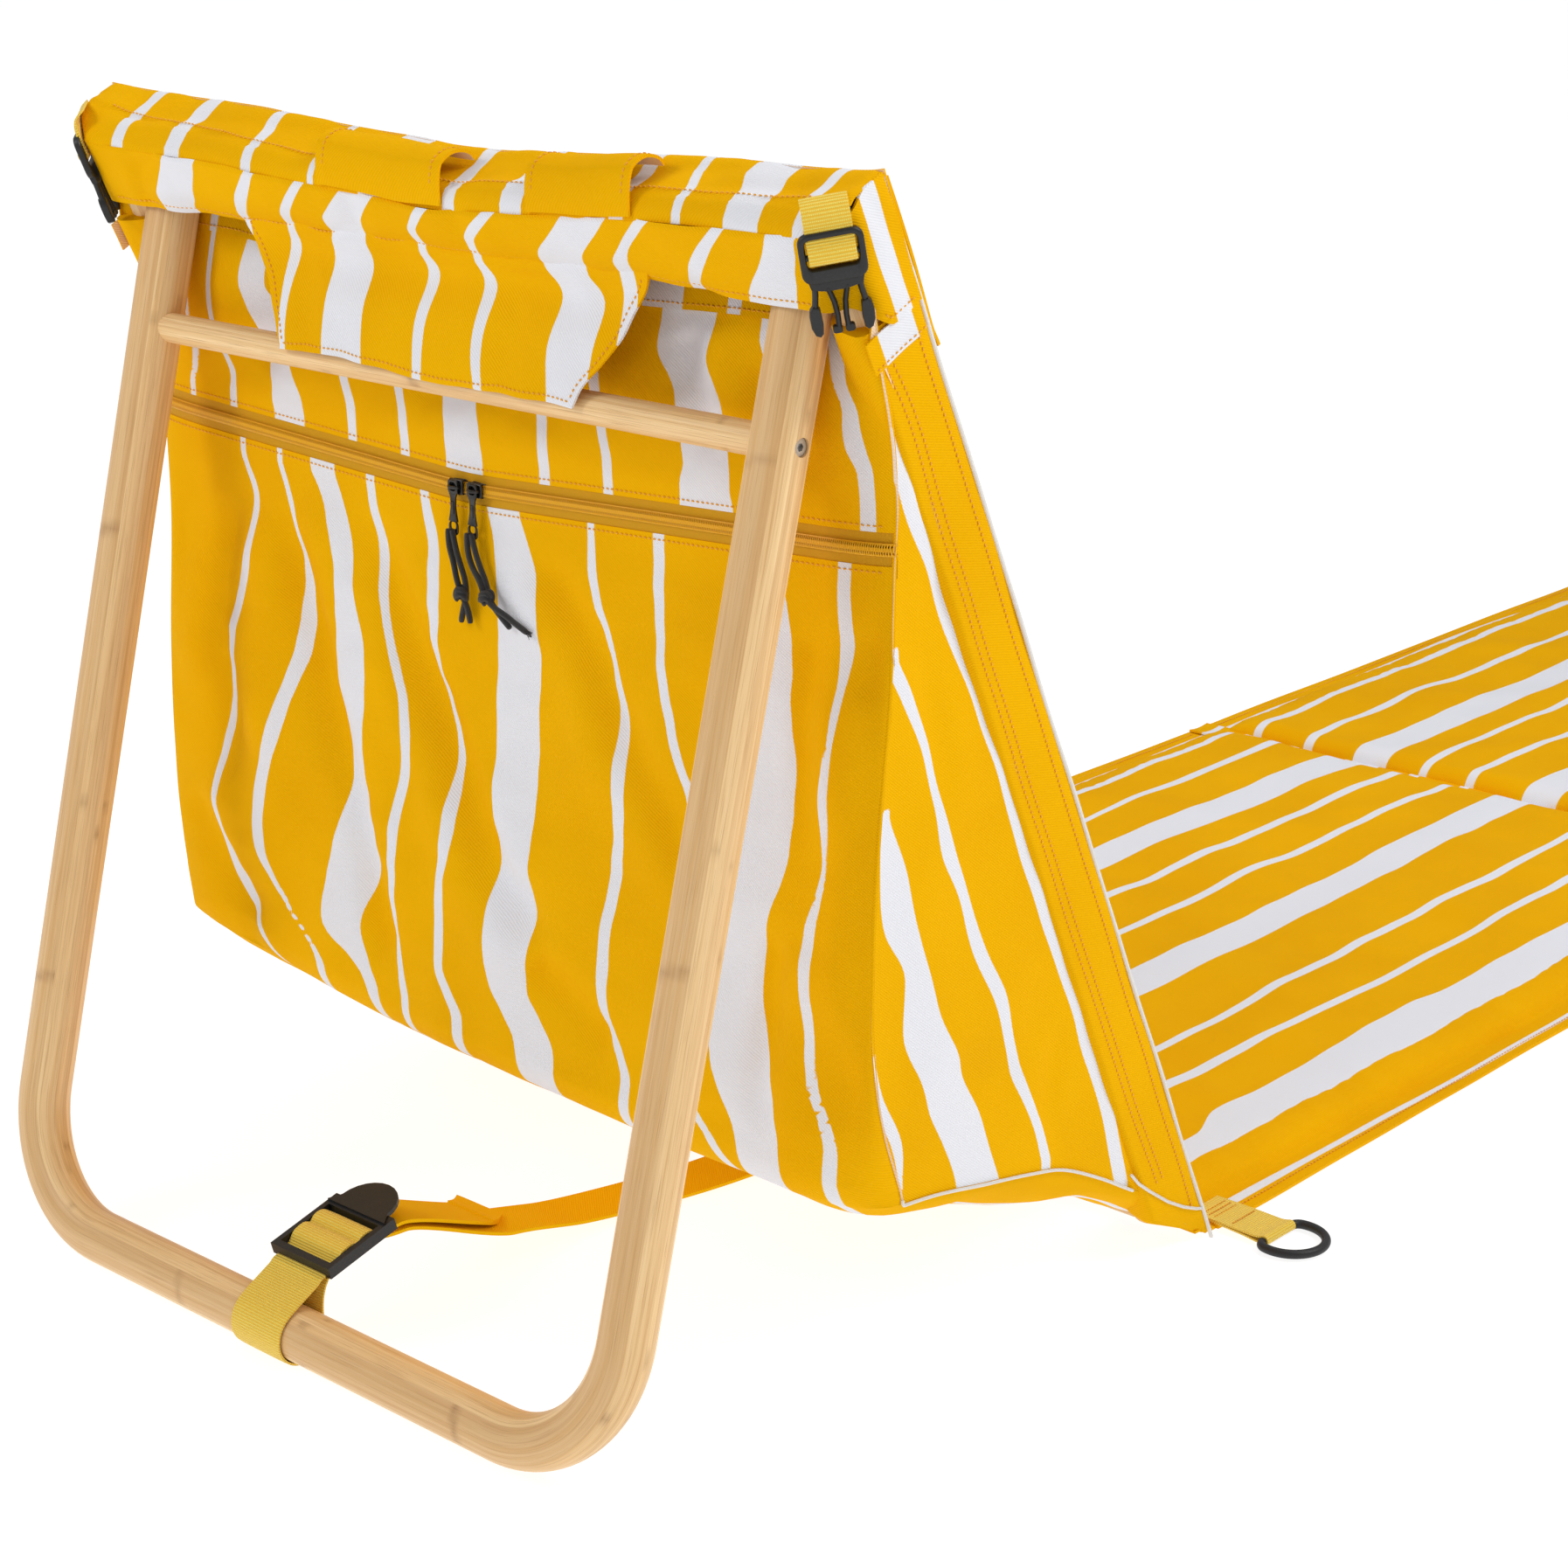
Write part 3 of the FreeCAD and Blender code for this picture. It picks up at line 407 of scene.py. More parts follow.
class Nodes:
    def __init__(self, name):
        self.mat = bpy.data.materials.new(name)
        self.mat.use_nodes = True
        self.nt = self.mat.node_tree
        self.nt.nodes.clear()
        self.out = self.new("ShaderNodeOutputMaterial")
        self.bsdf = self.new("ShaderNodeBsdfPrincipled")
        self.link(self.bsdf.outputs[0], self.out.inputs[0])

    def new(self, kind, **kw):
        n = self.nt.nodes.new(kind)
        for k, v in kw.items():
            setattr(n, k, v)
        return n

    def link(self, a, b):
        self.nt.links.new(a, b)

    def math(self, op, a, b=None, c=None, clamp=False):
        n = self.new("ShaderNodeMath", operation=op, use_clamp=clamp)
        for i, v in enumerate((a, b, c)):
            if v is None:
                continue
            if isinstance(v, (int, float)):
                n.inputs[i].default_value = v
            else:
                self.link(v, n.inputs[i])
        return n.outputs[0]

    def uv(self, name):
        return self.new("ShaderNodeUVMap", uv_map=name).outputs[0]

    def mapping(self, vec, scale=(1, 1, 1), rot=0.0, loc=(0, 0, 0)):
        n = self.new("ShaderNodeMapping")
        n.inputs["Scale"].default_value = scale
        n.inputs["Rotation"].default_value = (0, 0, rot)
        n.inputs["Location"].default_value = loc
        self.link(vec, n.inputs[0])
        return n.outputs[0]

    def noise(self, vec, scale, detail=2.0, rough=0.5, dims="3D"):
        n = self.new("ShaderNodeTexNoise", noise_dimensions=dims)
        n.inputs["Scale"].default_value = scale
        n.inputs["Detail"].default_value = detail
        n.inputs["Roughness"].default_value = rough
        if vec is not None:
            self.link(vec, n.inputs["Vector"])
        return n.outputs[0]

    def bands(self, vec, scale, axis="X", distort=0.0):
        n = self.new("ShaderNodeTexWave", wave_type="BANDS", bands_direction=axis)
        n.inputs["Scale"].default_value = scale
        n.inputs["Distortion"].default_value = distort
        n.inputs["Detail"].default_value = 1.0
        self.link(vec, n.inputs["Vector"])
        return n.outputs[1]

    def ramp(self, fac, lo, hi, a=0.0, b=1.0):
        n = self.new("ShaderNodeMapRange", interpolation_type="SMOOTHSTEP")
        n.inputs["From Min"].default_value = lo
        n.inputs["From Max"].default_value = hi
        n.inputs["To Min"].default_value = a
        n.inputs["To Max"].default_value = b
        self.link(fac, n.inputs[0])
        return n.outputs[0]

    def mix(self, fac, a, b, mode="MIX"):
        n = self.new("ShaderNodeMix", data_type="RGBA", blend_type=mode)
        if isinstance(fac, (int, float)):
            n.inputs[0].default_value = fac
        else:
            self.link(fac, n.inputs[0])
        for i, v in ((6, a), (7, b)):
            if isinstance(v, tuple):
                n.inputs[i].default_value = v
            else:
                self.link(v, n.inputs[i])
        return n.outputs[2]

    def bump(self, height, distance, strength=1.0, normal=None):
        n = self.new("ShaderNodeBump")
        n.inputs["Strength"].default_value = strength
        n.inputs["Distance"].default_value = distance
        self.link(height, n.inputs["Height"])
        if normal is not None:
            self.link(normal, n.inputs["Normal"])
        return n.outputs[0]

    def set(self, **kw):
        names = dict(color="Base Color", rough="Roughness", metal="Metallic", spec="Specular IOR Level",
                     sheen="Sheen Weight", sheen_rough="Sheen Roughness", coat="Coat Weight", normal="Normal",
                     coat_rough="Coat Roughness")
        for k, v in kw.items():
            s = self.bsdf.inputs[names[k]]
            if isinstance(v, (int, float, tuple)):
                s.default_value = v
            else:
                self.link(v, s)


def canvas(name, yellow, yellow2, white, reverse):
    """Printed canvas: white stripes on yellow, a fine twill, a pale reverse."""
    n = Nodes(name)
    cloth = n.uv("cloth")
    sep = n.new("ShaderNodeSeparateXYZ")
    n.link(n.uv("print"), sep.inputs[0])
    wobble = n.math("MULTIPLY", n.math("SUBTRACT", n.noise(cloth, 900.0, 1.0), 0.5), 0.5)
    d = n.math("ADD", sep.outputs[0], wobble)
    white_mask = n.ramp(d, -0.28, 0.28, 1.0, 0.0)
    big = n.noise(cloth, 9.0, 3.0)
    fine = n.noise(cloth, 420.0, 3.0, 0.65)
    yarn = n.noise(n.mapping(cloth, (2600, 240, 1)), 1.0, 1.0)
    y = n.mix(n.ramp(big, 0.3, 0.7), yellow, yellow2)
    y = n.mix(n.math("MULTIPLY", n.ramp(fine, 0.25, 0.75), 0.10), y, srgb(255, 200, 40))
    col = n.mix(white_mask, y, white)
    back = n.ramp(sep.outputs[1], 0.4, 0.6)
    col = n.mix(n.math("MULTIPLY", back, 0.85), col, reverse)
    twill = n.bands(n.mapping(cloth, (1, 1, 1), math.radians(52)), 250.0, "X", 0.5)
    dark = n.math("MULTIPLY", n.ramp(twill, 0.0, 0.6, 1.0, 0.0), 0.20)
    col = n.mix(dark, col, n.mix(white_mask, srgb(206, 138, 0), srgb(206, 206, 214)))
    speck = n.math("MULTIPLY", n.ramp(yarn, 0.60, 0.80), 0.10)
    col = n.mix(speck, col, srgb(255, 206, 60))
    height = n.math("ADD", n.math("MULTIPLY", twill, 0.8), n.math("MULTIPLY", fine, 0.6))
    n.set(color=col, rough=0.85, spec=0.03, sheen=0.0, sheen_rough=0.5,
          normal=n.bump(height, 0.00035, 0.55))
    return n.mat


def webbing(name, base, dark, ribs, width_m):
    """Ribbed grosgrain tape: fine cross ribs."""
    n = Nodes(name)
    cloth = n.uv("cloth")
    across = n.bands(n.mapping(cloth), ribs, "Y", 0.25)
    along = n.bands(n.mapping(cloth), ribs * 1.7, "X", 0.2)
    weave = n.math("MULTIPLY", across, n.math("ADD", n.math("MULTIPLY", along, 0.45), 0.55))
    big = n.noise(cloth, 60.0, 2.0)
    col = n.mix(n.ramp(weave, 0.05, 0.8), dark, base)
    col = n.mix(n.math("MULTIPLY", n.ramp(big, 0.3, 0.7), 0.12), col, dark)
    n.set(color=col, rough=0.62, spec=0.32, sheen=0.15, normal=n.bump(weave, 0.0006, 0.8))
    return n.mat


def plastic(name, base, rough=0.42, grain=900.0, bump=0.00006):
    n = Nodes(name)
    geo = n.new("ShaderNodeTexCoord").outputs["Object"]
    g = n.noise(geo, grain, 3.0, 0.6)
    big = n.noise(geo, 40.0, 2.0)
    r = n.ramp(big, 0.2, 0.8, rough - 0.05, rough + 0.08)
    col = n.mix(n.math("MULTIPLY", n.ramp(g, 0.45, 0.8), 0.25), base, srgb(58, 58, 60))
    n.set(color=col, spec=0.45, rough=r, normal=n.bump(g, bump, 0.6))
    return n.mat


def metal(name, base, rough, tarnish, grain=1200.0):
    n = Nodes(name)
    geo = n.new("ShaderNodeTexCoord").outputs["Object"]
    g = n.noise(geo, grain, 3.0, 0.6)
    big = n.noise(geo, 160.0, 3.0)
    col = n.mix(n.math("MULTIPLY", n.ramp(big, 0.35, 0.75), 0.6), base, tarnish)
    n.set(color=col, metal=1.0, rough=n.ramp(g, 0.2, 0.8, rough - 0.05, rough + 0.12),
          normal=n.bump(g, 0.00003, 0.5))
    return n.mat


def bamboo(name, tint=1.0):
    """Laminated bamboo: long strips, fine fibres, darker marks at the joints."""
    n = Nodes(name)
    uv = n.uv("cloth")
    sep = n.new("ShaderNodeSeparateXYZ")
    n.link(n.uv("print"), sep.inputs[0])
    sepc = n.new("ShaderNodeSeparateXYZ")
    n.link(uv, sepc.inputs[0])
    # a strip's own number shifts its shade; the print layer holds joints and strip
    fibre = n.noise(n.mapping(uv, (2400.0, 26.0, 1.0)), 1.0, 3.0, 0.6)
    fibre2 = n.noise(n.mapping(uv, (900.0, 9.0, 1.0), 0, (3.1, 1.7, 0)), 1.0, 2.0, 0.55)
    streak = n.noise(n.mapping(uv, (260.0, 4.0, 1.0), 0, (7.3, 2.2, 0)), 1.0, 2.0, 0.5)
    big = n.noise(n.mapping(uv, (30.0, 3.0, 1.0)), 1.0, 2.0)
    light, mid, deep = srgb(252, 217, 162), srgb(236, 193, 133), srgb(194, 142, 84)
    col = n.mix(n.ramp(streak, 0.3, 0.72), light, mid)
    col = n.mix(n.math("MULTIPLY", n.ramp(fibre2, 0.48, 0.75), 0.42), col, deep)
    col = n.mix(n.math("MULTIPLY", n.ramp(fibre, 0.52, 0.74), 0.60), col, srgb(168, 116, 64))
    col = n.mix(n.math("MULTIPLY", n.ramp(fibre, 0.45, 0.22), 0.25), col, srgb(252, 226, 180))
    col = n.mix(n.math("MULTIPLY", n.ramp(big, 0.35, 0.7), 0.22), col, srgb(205, 156, 98))
    shade = n.math("MULTIPLY", n.math("SUBTRACT", sep.outputs[1], 0.5), 0.55)
    up = n.ramp(shade, 0.0, 0.28, 0.0, 0.38)
    dn = n.ramp(shade, 0.0, -0.28, 0.0, 0.42)
    col = n.mix(up, col, srgb(250, 220, 168))
    col = n.mix(dn, col, srgb(196, 146, 90))
    knot = n.math("MULTIPLY", sep.outputs[0], n.ramp(fibre2, 0.2, 0.6, 1.0, 0.45), clamp=True)
    col = n.mix(knot, col, srgb(150, 100, 56))
    h = n.math("ADD", n.math("MULTIPLY", fibre, -0.7), n.math("MULTIPLY", fibre2, -0.5))
    n.set(color=col, rough=n.ramp(fibre, 0.2, 0.8, 0.36, 0.50), spec=0.42,
          normal=n.bump(h, 0.00012, 0.5))
    return n.mat


M = {}
M["canvas"] = canvas("striped_canvas", srgb(246, 184, 0), srgb(240, 177, 0), srgb(236, 237, 243), srgb(250, 226, 200))
M["mat"] = canvas("mat_canvas", srgb(246, 181, 0), srgb(240, 174, 0), srgb(236, 238, 246), srgb(250, 226, 200))
M["web"] = webbing("yellow_webbing", srgb(255, 232, 104), srgb(246, 194, 48), 205.0, 0.025)
M["strap"] = canvas("strap_canvas", srgb(255, 204, 10), srgb(252, 196, 6), srgb(240, 241, 247), srgb(240, 180, 30))
M["plastic"] = plastic("black_plastic", srgb(24, 24, 25), 0.40)
M["ring"] = plastic("black_coated_metal", srgb(27, 27, 29), 0.50, 1400.0, 0.00008)
M["dark_metal"] = metal("blackened_metal", srgb(78, 76, 74), 0.30, srgb(30, 29, 29))
M["steel"] = metal("steel", srgb(196, 192, 186), 0.30, srgb(120, 114, 108))
M["bamboo"] = bamboo("bamboo")


def simple(name, fn):
    n = Nodes(name)
    fn(n)
    return n.mat


def _thread(n):
    geo = n.new("ShaderNodeTexCoord").outputs["Object"]
    tw = n.bands(n.mapping(geo, (1, 1, 1), 0.8), 900.0, "DIAGONAL")
    n.set(color=n.mix(n.ramp(tw, 0.2, 0.8), srgb(232, 150, 14), srgb(255, 190, 56)), rough=0.6, spec=0.3,
          sheen=0.2, normal=n.bump(tw, 0.0002, 0.5))


def _cord(n):
    uv = n.uv("cloth")
    a = n.bands(n.mapping(uv, (1, 1, 1), math.radians(38)), 520.0)
    b = n.bands(n.mapping(uv, (1, 1, 1), math.radians(-38)), 520.0)
    h = n.math("MAXIMUM", a, b)
    n.set(color=n.mix(n.ramp(h, 0.3, 1.0), srgb(9, 9, 10), srgb(34, 34, 37)), rough=0.62, spec=0.3, sheen=0.25,
          normal=n.bump(h, 0.0005, 0.9))


def _tape(n):
    uv = n.uv("cloth")
    w = n.bands(n.mapping(uv, (1, 1, 1)), 520.0, "X")
    v = n.bands(n.mapping(uv, (1, 1, 1), math.radians(45)), 900.0, "X")
    h = n.math("ADD", n.math("MULTIPLY", w, 0.6), n.math("MULTIPLY", v, 0.4))
    n.set(color=n.mix(n.ramp(h, 0.1, 0.9), srgb(206, 148, 0), srgb(232, 172, 4)), rough=0.66, spec=0.3,
          normal=n.bump(h, 0.0004, 0.6))


def _coil(n):
    uv = n.uv("cloth")
    g = n.noise(uv, 800.0, 2.0)
    n.set(color=n.mix(n.ramp(g, 0.3, 0.7), srgb(222, 160, 2), srgb(244, 186, 12)), rough=0.42, spec=0.42,
          normal=n.bump(g, 0.0001, 0.4))


def _floor(n):
    geo = n.new("ShaderNodeTexCoord").outputs["Object"]
    g = n.noise(geo, 3.0, 2.0)
    n.set(color=n.mix(n.ramp(g, 0.2, 0.8), (0.27, 0.27, 0.27, 1), (0.29, 0.29, 0.29, 1)), rough=0.9, spec=0.0)
    n.bsdf.inputs["Emission Color"].default_value = (1, 1, 1, 1)
    n.bsdf.inputs["Emission Strength"].default_value = 0.87


def _piping(n):
    uv = n.uv("cloth")
    h = n.bands(n.mapping(uv, (1, 1, 1), math.radians(45)), 620.0)
    n.set(color=n.mix(n.ramp(h, 0.1, 0.9), srgb(226, 222, 216), srgb(246, 244, 240)), rough=0.75, spec=0.25,
          sheen=0.1, normal=n.bump(h, 0.0003, 0.5))


M["thread"] = simple("orange_thread", _thread)
M["cord"] = simple("black_cord", _cord)
M["tape"] = simple("zip_tape", _tape)
M["coil"] = simple("zip_coil", _coil)
M["floor"] = simple("floor", _floor)
M["piping"] = simple("white_piping", _piping)

# ------------------------------------------------------------------ camera
cam = bpy.data.cameras.new("camera")
cam_ob = bpy.data.objects.new("camera", cam)
bpy.context.scene.collection.objects.link(cam_ob)
bpy.context.scene.camera = cam_ob
cam.sensor_width = 36.0
cam.lens = 74.09
cam.clip_start, cam.clip_end = 0.05, 60.0
_az, _el, _roll = math.radians(222.3), math.radians(18.34), math.radians(-0.26)
_back = Vector((math.sin(_az) * math.cos(_el), -math.cos(_az) * math.cos(_el), math.sin(_el)))
_right = (-_back).cross(Vector((0, 0, 1))).normalized()
_up = _right.cross(-_back)
_r2 = _right * math.cos(_roll) + _up * math.sin(_roll)
_u2 = _up * math.cos(_roll) - _right * math.sin(_roll)
cam_ob.matrix_world = Matrix((
    (_r2.x, _u2.x, _back.x, -1.2613),
    (_r2.y, _u2.y, _back.y, 1.9536),
    (_r2.z, _u2.z, _back.z, 0.8503),
    (0, 0, 0, 1)))

# ----------------------------------------------- the cords on the zip pulls
CORDS = {
    "left": [[(17.0, 22.6, 8.2), (15.2, 31.0, 8.2), (12.4, 40.0, 7.4), (8.2, 49.5, 7.2),
              (7.6, 58.0, 7.0), (10.8, 66.0, 6.8), (12.9, 73.5, 6.4)],
             [(20.2, 22.6, 8.2), (20.4, 30.5, 8.4), (16.6, 40.5, 8.0), (13.0, 49.0, 9.4),
              (10.4, 57.5, 8.2), (6.4, 65.5, 7.0), (5.6, 73.0, 6.4)]],
    "right": [[(1.8, 22.6, 8.2), (-0.4, 31.0, 8.2), (-4.6, 40.5, 7.8), (-9.4, 49.0, 7.6),
               (-11.6, 57.5, 7.6), (-18.5, 64.0, 7.2), (-26.5, 70.0, 6.8)],
              [(5.0, 22.6, 8.2), (5.4, 30.5, 8.4), (2.0, 40.0, 8.4), (-6.8, 47.5, 10.0),
               (-9.4, 55.0, 9.8), (-16.5, 60.0, 9.4), (-24.2, 62.6, 8.8), (-31.6, 66.6, 7.6),
               (-40.0, 70.0, 7.2)]],
}
KNOTS = {"left": (10.2, 57.0, 8.3), "right": (-10.4, 55.5, 9.0)}


def nurbs(points):
    """Points along the smooth line of a route, as Blender draws it."""
    cu = bpy.data.curves.new("route", "CURVE")
    cu.dimensions = "3D"
    cu.resolution_u = 14
    sp = cu.splines.new("NURBS")
    sp.points.add(len(points) - 1)
    for p, c in zip(sp.points, points):
        p.co = (*[float(v) * 0.001 for v in c], 1.0)
    sp.order_u = 3
    sp.use_endpoint_u = True
    ob = bpy.data.objects.new("route", cu)
    bpy.context.scene.collection.objects.link(ob)
    bpy.context.view_layer.update()
    me = bpy.data.meshes.new_from_object(ob.evaluated_get(bpy.context.evaluated_depsgraph_get()))
    pts = np.array([v.co for v in me.vertices], float) * 1000.0
    bpy.data.objects.remove(ob)
    bpy.data.curves.remove(cu)
    bpy.data.meshes.remove(me)
    return pts


def braid(s, th):
    return 1.0 + 0.045 * np.sin(s * 2.1 + th * 3) * np.sin(s * 2.1 - th * 3)


CORD_OBS = {}
for side, strands in CORDS.items():
    knot = Shell()
    x, d, o = KNOTS[side]
    sgn = 1 if side == "left" else -1
    # an overhand knot: one strand pair wraps round the other
    turns = []
    for k in range(34):
        an = 2 * math.pi * k / 33 * 1.9 + 0.6
        turns.append(zp(x + 3.1 * math.cos(an) * (1.0 - 0.12 * math.cos(an * 0.5)),
                        d + 3.0 * (k / 33 - 0.5) * 1.7 + 1.1 * math.sin(an * 2 + 0.4),
                        o + 2.3 * math.sin(an) + 0.3))
    knot.tube(np.array(turns), 1.75, 12, wave=braid)
    loop = []
    for k in range(22):
        an = 2 * math.pi * k / 21 * 0.86 + 2.2
        loop.append(zp(x + 1.0 * sgn + 2.6 * math.cos(an), d + 3.6 * math.sin(an), o + 1.4 * math.sin(an * 1.0 + 0.9)))
    knot.tube(np.array(loop), 1.45, 12, wave=braid)
    kn = knot.build("knot_%s" % side, M["cord"])
    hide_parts("pull_knot_%s" % side)
    for tag, route in zip("ab", strands):
        line = nurbs([zp(*p) for p in route])
        fine = resample(line, 0.55)
        sh = Shell()
        n = len(fine)
        sc = np.ones(n)
        sc[:3] *= (0.82, 0.93, 0.98)
        sc[-4:] *= (0.98, 0.95, 0.9, 0.72)
        sh.tube(fine, 1.66, 14, scale=sc, wave=braid)
        pieces = [kn] if tag == "a" else []
        if side == "right" and tag == "b":
            rnd = random.Random(5)
            tip, di = fine[-1], fine[-1] - fine[-4]
            di /= np.linalg.norm(di)
            fz = Shell()
            for _ in range(26):
                q = di + np.array([rnd.uniform(-.45, .45) for _ in range(3)])
                q /= np.linalg.norm(q)
                le = rnd.uniform(1.4, 3.4)
                off = np.array([rnd.uniform(-.8, .8) for _ in range(3)])
                fz.tube([tip - di * 0.8 + off, tip + off + q * le * 0.5, tip + off * 1.1 + q * le + ZD * 0.3], 0.16, 5)
            fray = fz.build("cord_fray", M["cord"])
            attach(fray, "zip_pull_right")
            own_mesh(fray)
            pieces.append(fray)
        ob = sh.build("cord_%s_%s" % (side, tag), M["cord"])
        CORD_OBS[side + tag] = ob
        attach(ob, "zip_pull_" + side)
        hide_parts("pull_cord_%s_%s" % (side, tag))
        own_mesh(ob)
    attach(kn, "zip_pull_" + side)
    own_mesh(kn)

# --------------------------------------------------------------- bag shape
YC = ([592, 581, 560, 538, 524, 505, 485, 470, 454, 440, 400, 300, 197, 150, 128],
      [283.5, 286.5, 291, 294.5, 295.3, 293.5, 291.0, 291.0, 291.4, 291.8, 294.5, 300.5, 306, 309, 310])
YS = ([592, 563, 535, 514, 478, 457, 399, 321, 257, 210, 163, 135, 114],
      [306, 300, 292, 287, 283.5, 284, 285, 292.5, 295.5, 295, 287, 277, 269])
XS = ([592, 563, 478, 300, 210, 114], [287.5, 287.5, 285.5, 282.5, 281, 279.5])
ZB = ([-280, -200, -120, -9, 112, 233, 280], [121, 122, 123, 127, 134, 150, 153])
ROUND = 46.0


def zzip(x):
    return 454.2 + RISE * (np.sqrt((np.asarray(x, float) - MEET) ** 2 + 144.0) - 12.0)


w1, w2, w3 = Waves(3, 150), Waves(8, 60), Waves(21, 26)


def rear_folds(x, z):
    """How far the rear of the bag stands out from its plain shape."""
    o = 2.6 * w1(x, z) + 1.0 * w2(x, z) + 0.28 * w3(x, z)
    o = o + fold(x, z, [(172, 425), (152, 372), (120, 284), (88, 195), (80, 165)], 6.0, 13, 2.6)
    o = o + fold(x, z, [(96, 432), (49, 340), (-11, 250), (-55, 212)], 6.2, 13, -2.6)
    o = o + fold(x, z, [(-30, 440), (-90, 377), (-140, 305), (-166, 262)], 4.6, 12, -2.0)
    o = o + fold(x, z, [(-236, 420), (-233, 370), (-235, 300)], 3.4, 9, 1.2)
    o = o + fold(x, z, [(-222, 262), (-215, 210), (-213, 148)], 4.0, 10, 1.6)
    o = o + fold(x, z, [(222, 420), (232, 340), (216, 262)], 4.5, 14, 2.2)
    o = o + fold(x, z, [(-43, 199), (-70, 182), (-104, 162)], 3.6, 11, 1.4)
    o = o + fold(x, z, [(262, 232), (232, 196), (196, 158)], 4.6, 15, 1.8)
    o = o + 4.2 * np.exp(-((x - 178) / 26) ** 2) * ss((z - 190) / 60) * ss((425 - z) / 60)
    o = o + 2.6 * np.exp(-((x + 262) / 13) ** 2) * ss((z - 190) / 40) * ss((410 - z) / 40)
    o = o + 3.0 * np.exp(-((x + 20) / 60) ** 2) * ss((z - 150) / 60) * ss((330 - z) / 80)
    low = ss((zzip(x) - 12 - z) / 34)
    return o * low * 1.45


def upper_folds(x, z):
    o = 1.3 * w1(x + 40, z) + 0.7 * w2(x, z * 1.3) + 0.22 * w3(x, z)
    o = o + fold(x, z, [(-150, 560), (-158, 535), (-176, 505)], 3.0, 10, 1.2)
    o = o + fold(x, z, [(-196, 548), (-222, 520), (-240, 492)], 3.2, 9, -1.0)
    o = o + fold(x, z, [(150, 556), (168, 530), (186, 498)], 2.6, 12, 1.0)
    o = o + fold(x, z, [(60, 500), (0, 508), (-70, 503)], 2.2, 12, 0.8)
    return 1.4 * o * ss((z - zzip(x) - 10) / 22) * (1 - 0.75 * ss((np.abs(x) - 215) / 15))


def zone(x, z):
    """0 in the middle, 1 at the side seam."""
    xs = curve1(z, *XS)
    q = np.clip((np.abs(x) - (xs - ROUND)) / ROUND, 0, 1)
    e = 1 - np.sqrt(np.maximum(1 - q * q, 0))
    top = ss((np.abs(x) - 257) / (xs - 257.5))
    w = ss((z - 500) / 34)
    return e * (1 - w) + top * w


def rear_y(x, z):
    x, z = arr(x, z)
    yc, ys = curve1(z, *YC), curve1(z, *YS)
    y = yc + (ys - yc) * zone(x, z)
    edge = 1 - ss((np.abs(x) - (curve1(z, *XS) - 16)) / 16)
    return y + (np.where(z > zzip(x), upper_folds(x, z), rear_folds(x, z))) * edge


def rear_at(x, z, lift=0.0):
    """A point on the rear of the bag, and the way out of it."""
    x, z = arr(x, z)
    p = wp(x, rear_y(x, z), z)
    e = 0.6
    dx = wp(x + e, rear_y(x + e, z), z) - wp(x - e, rear_y(x - e, z), z)
    dz = wp(x, rear_y(x, z + e), z + e) - wp(x, rear_y(x, z - e), z - e)
    n = np.cross(dz, dx)
    n /= np.linalg.norm(n, axis=-1, keepdims=True)
    return p + n * np.asarray(lift)[..., None] if np.ndim(lift) else p + n * lift, n


# column places: even in the middle, closer round the side
_c = np.linspace(-1, 1, 236)
_phi = np.linspace(0, math.pi / 2, 15)[1:]


def columns(xs):
    """x for every column, from +x to -x, for a half width at each row."""
    xs = np.asarray(xs, float)[:, None]
    mid = np.linspace(-1, 1, 290)[None, :] * (xs - ROUND)
    side = (xs - ROUND) + ROUND * np.sin(_phi)[None, :]
    return np.concatenate([-side[:, ::-1], mid, side], 1)[:, ::-1]


def extend(table, seed, vs, drift=5.0):
    """Carries stripes on past the last measured row."""
    rnd = random.Random(seed)
    out = []
    for rows in table:
        rows = list(rows)
        last = min(rows, key=lambda r: r[0])
        c, w, off = (last[1] + last[2]) / 2, abs(last[1] - last[2]), 0.0
        for v in vs:
            if v < last[0] - 5:
                off += rnd.uniform(-drift, drift)
                rows.append((v, c + off - w / 2, c + off + w / 2))
        out.append(rows)
    return out


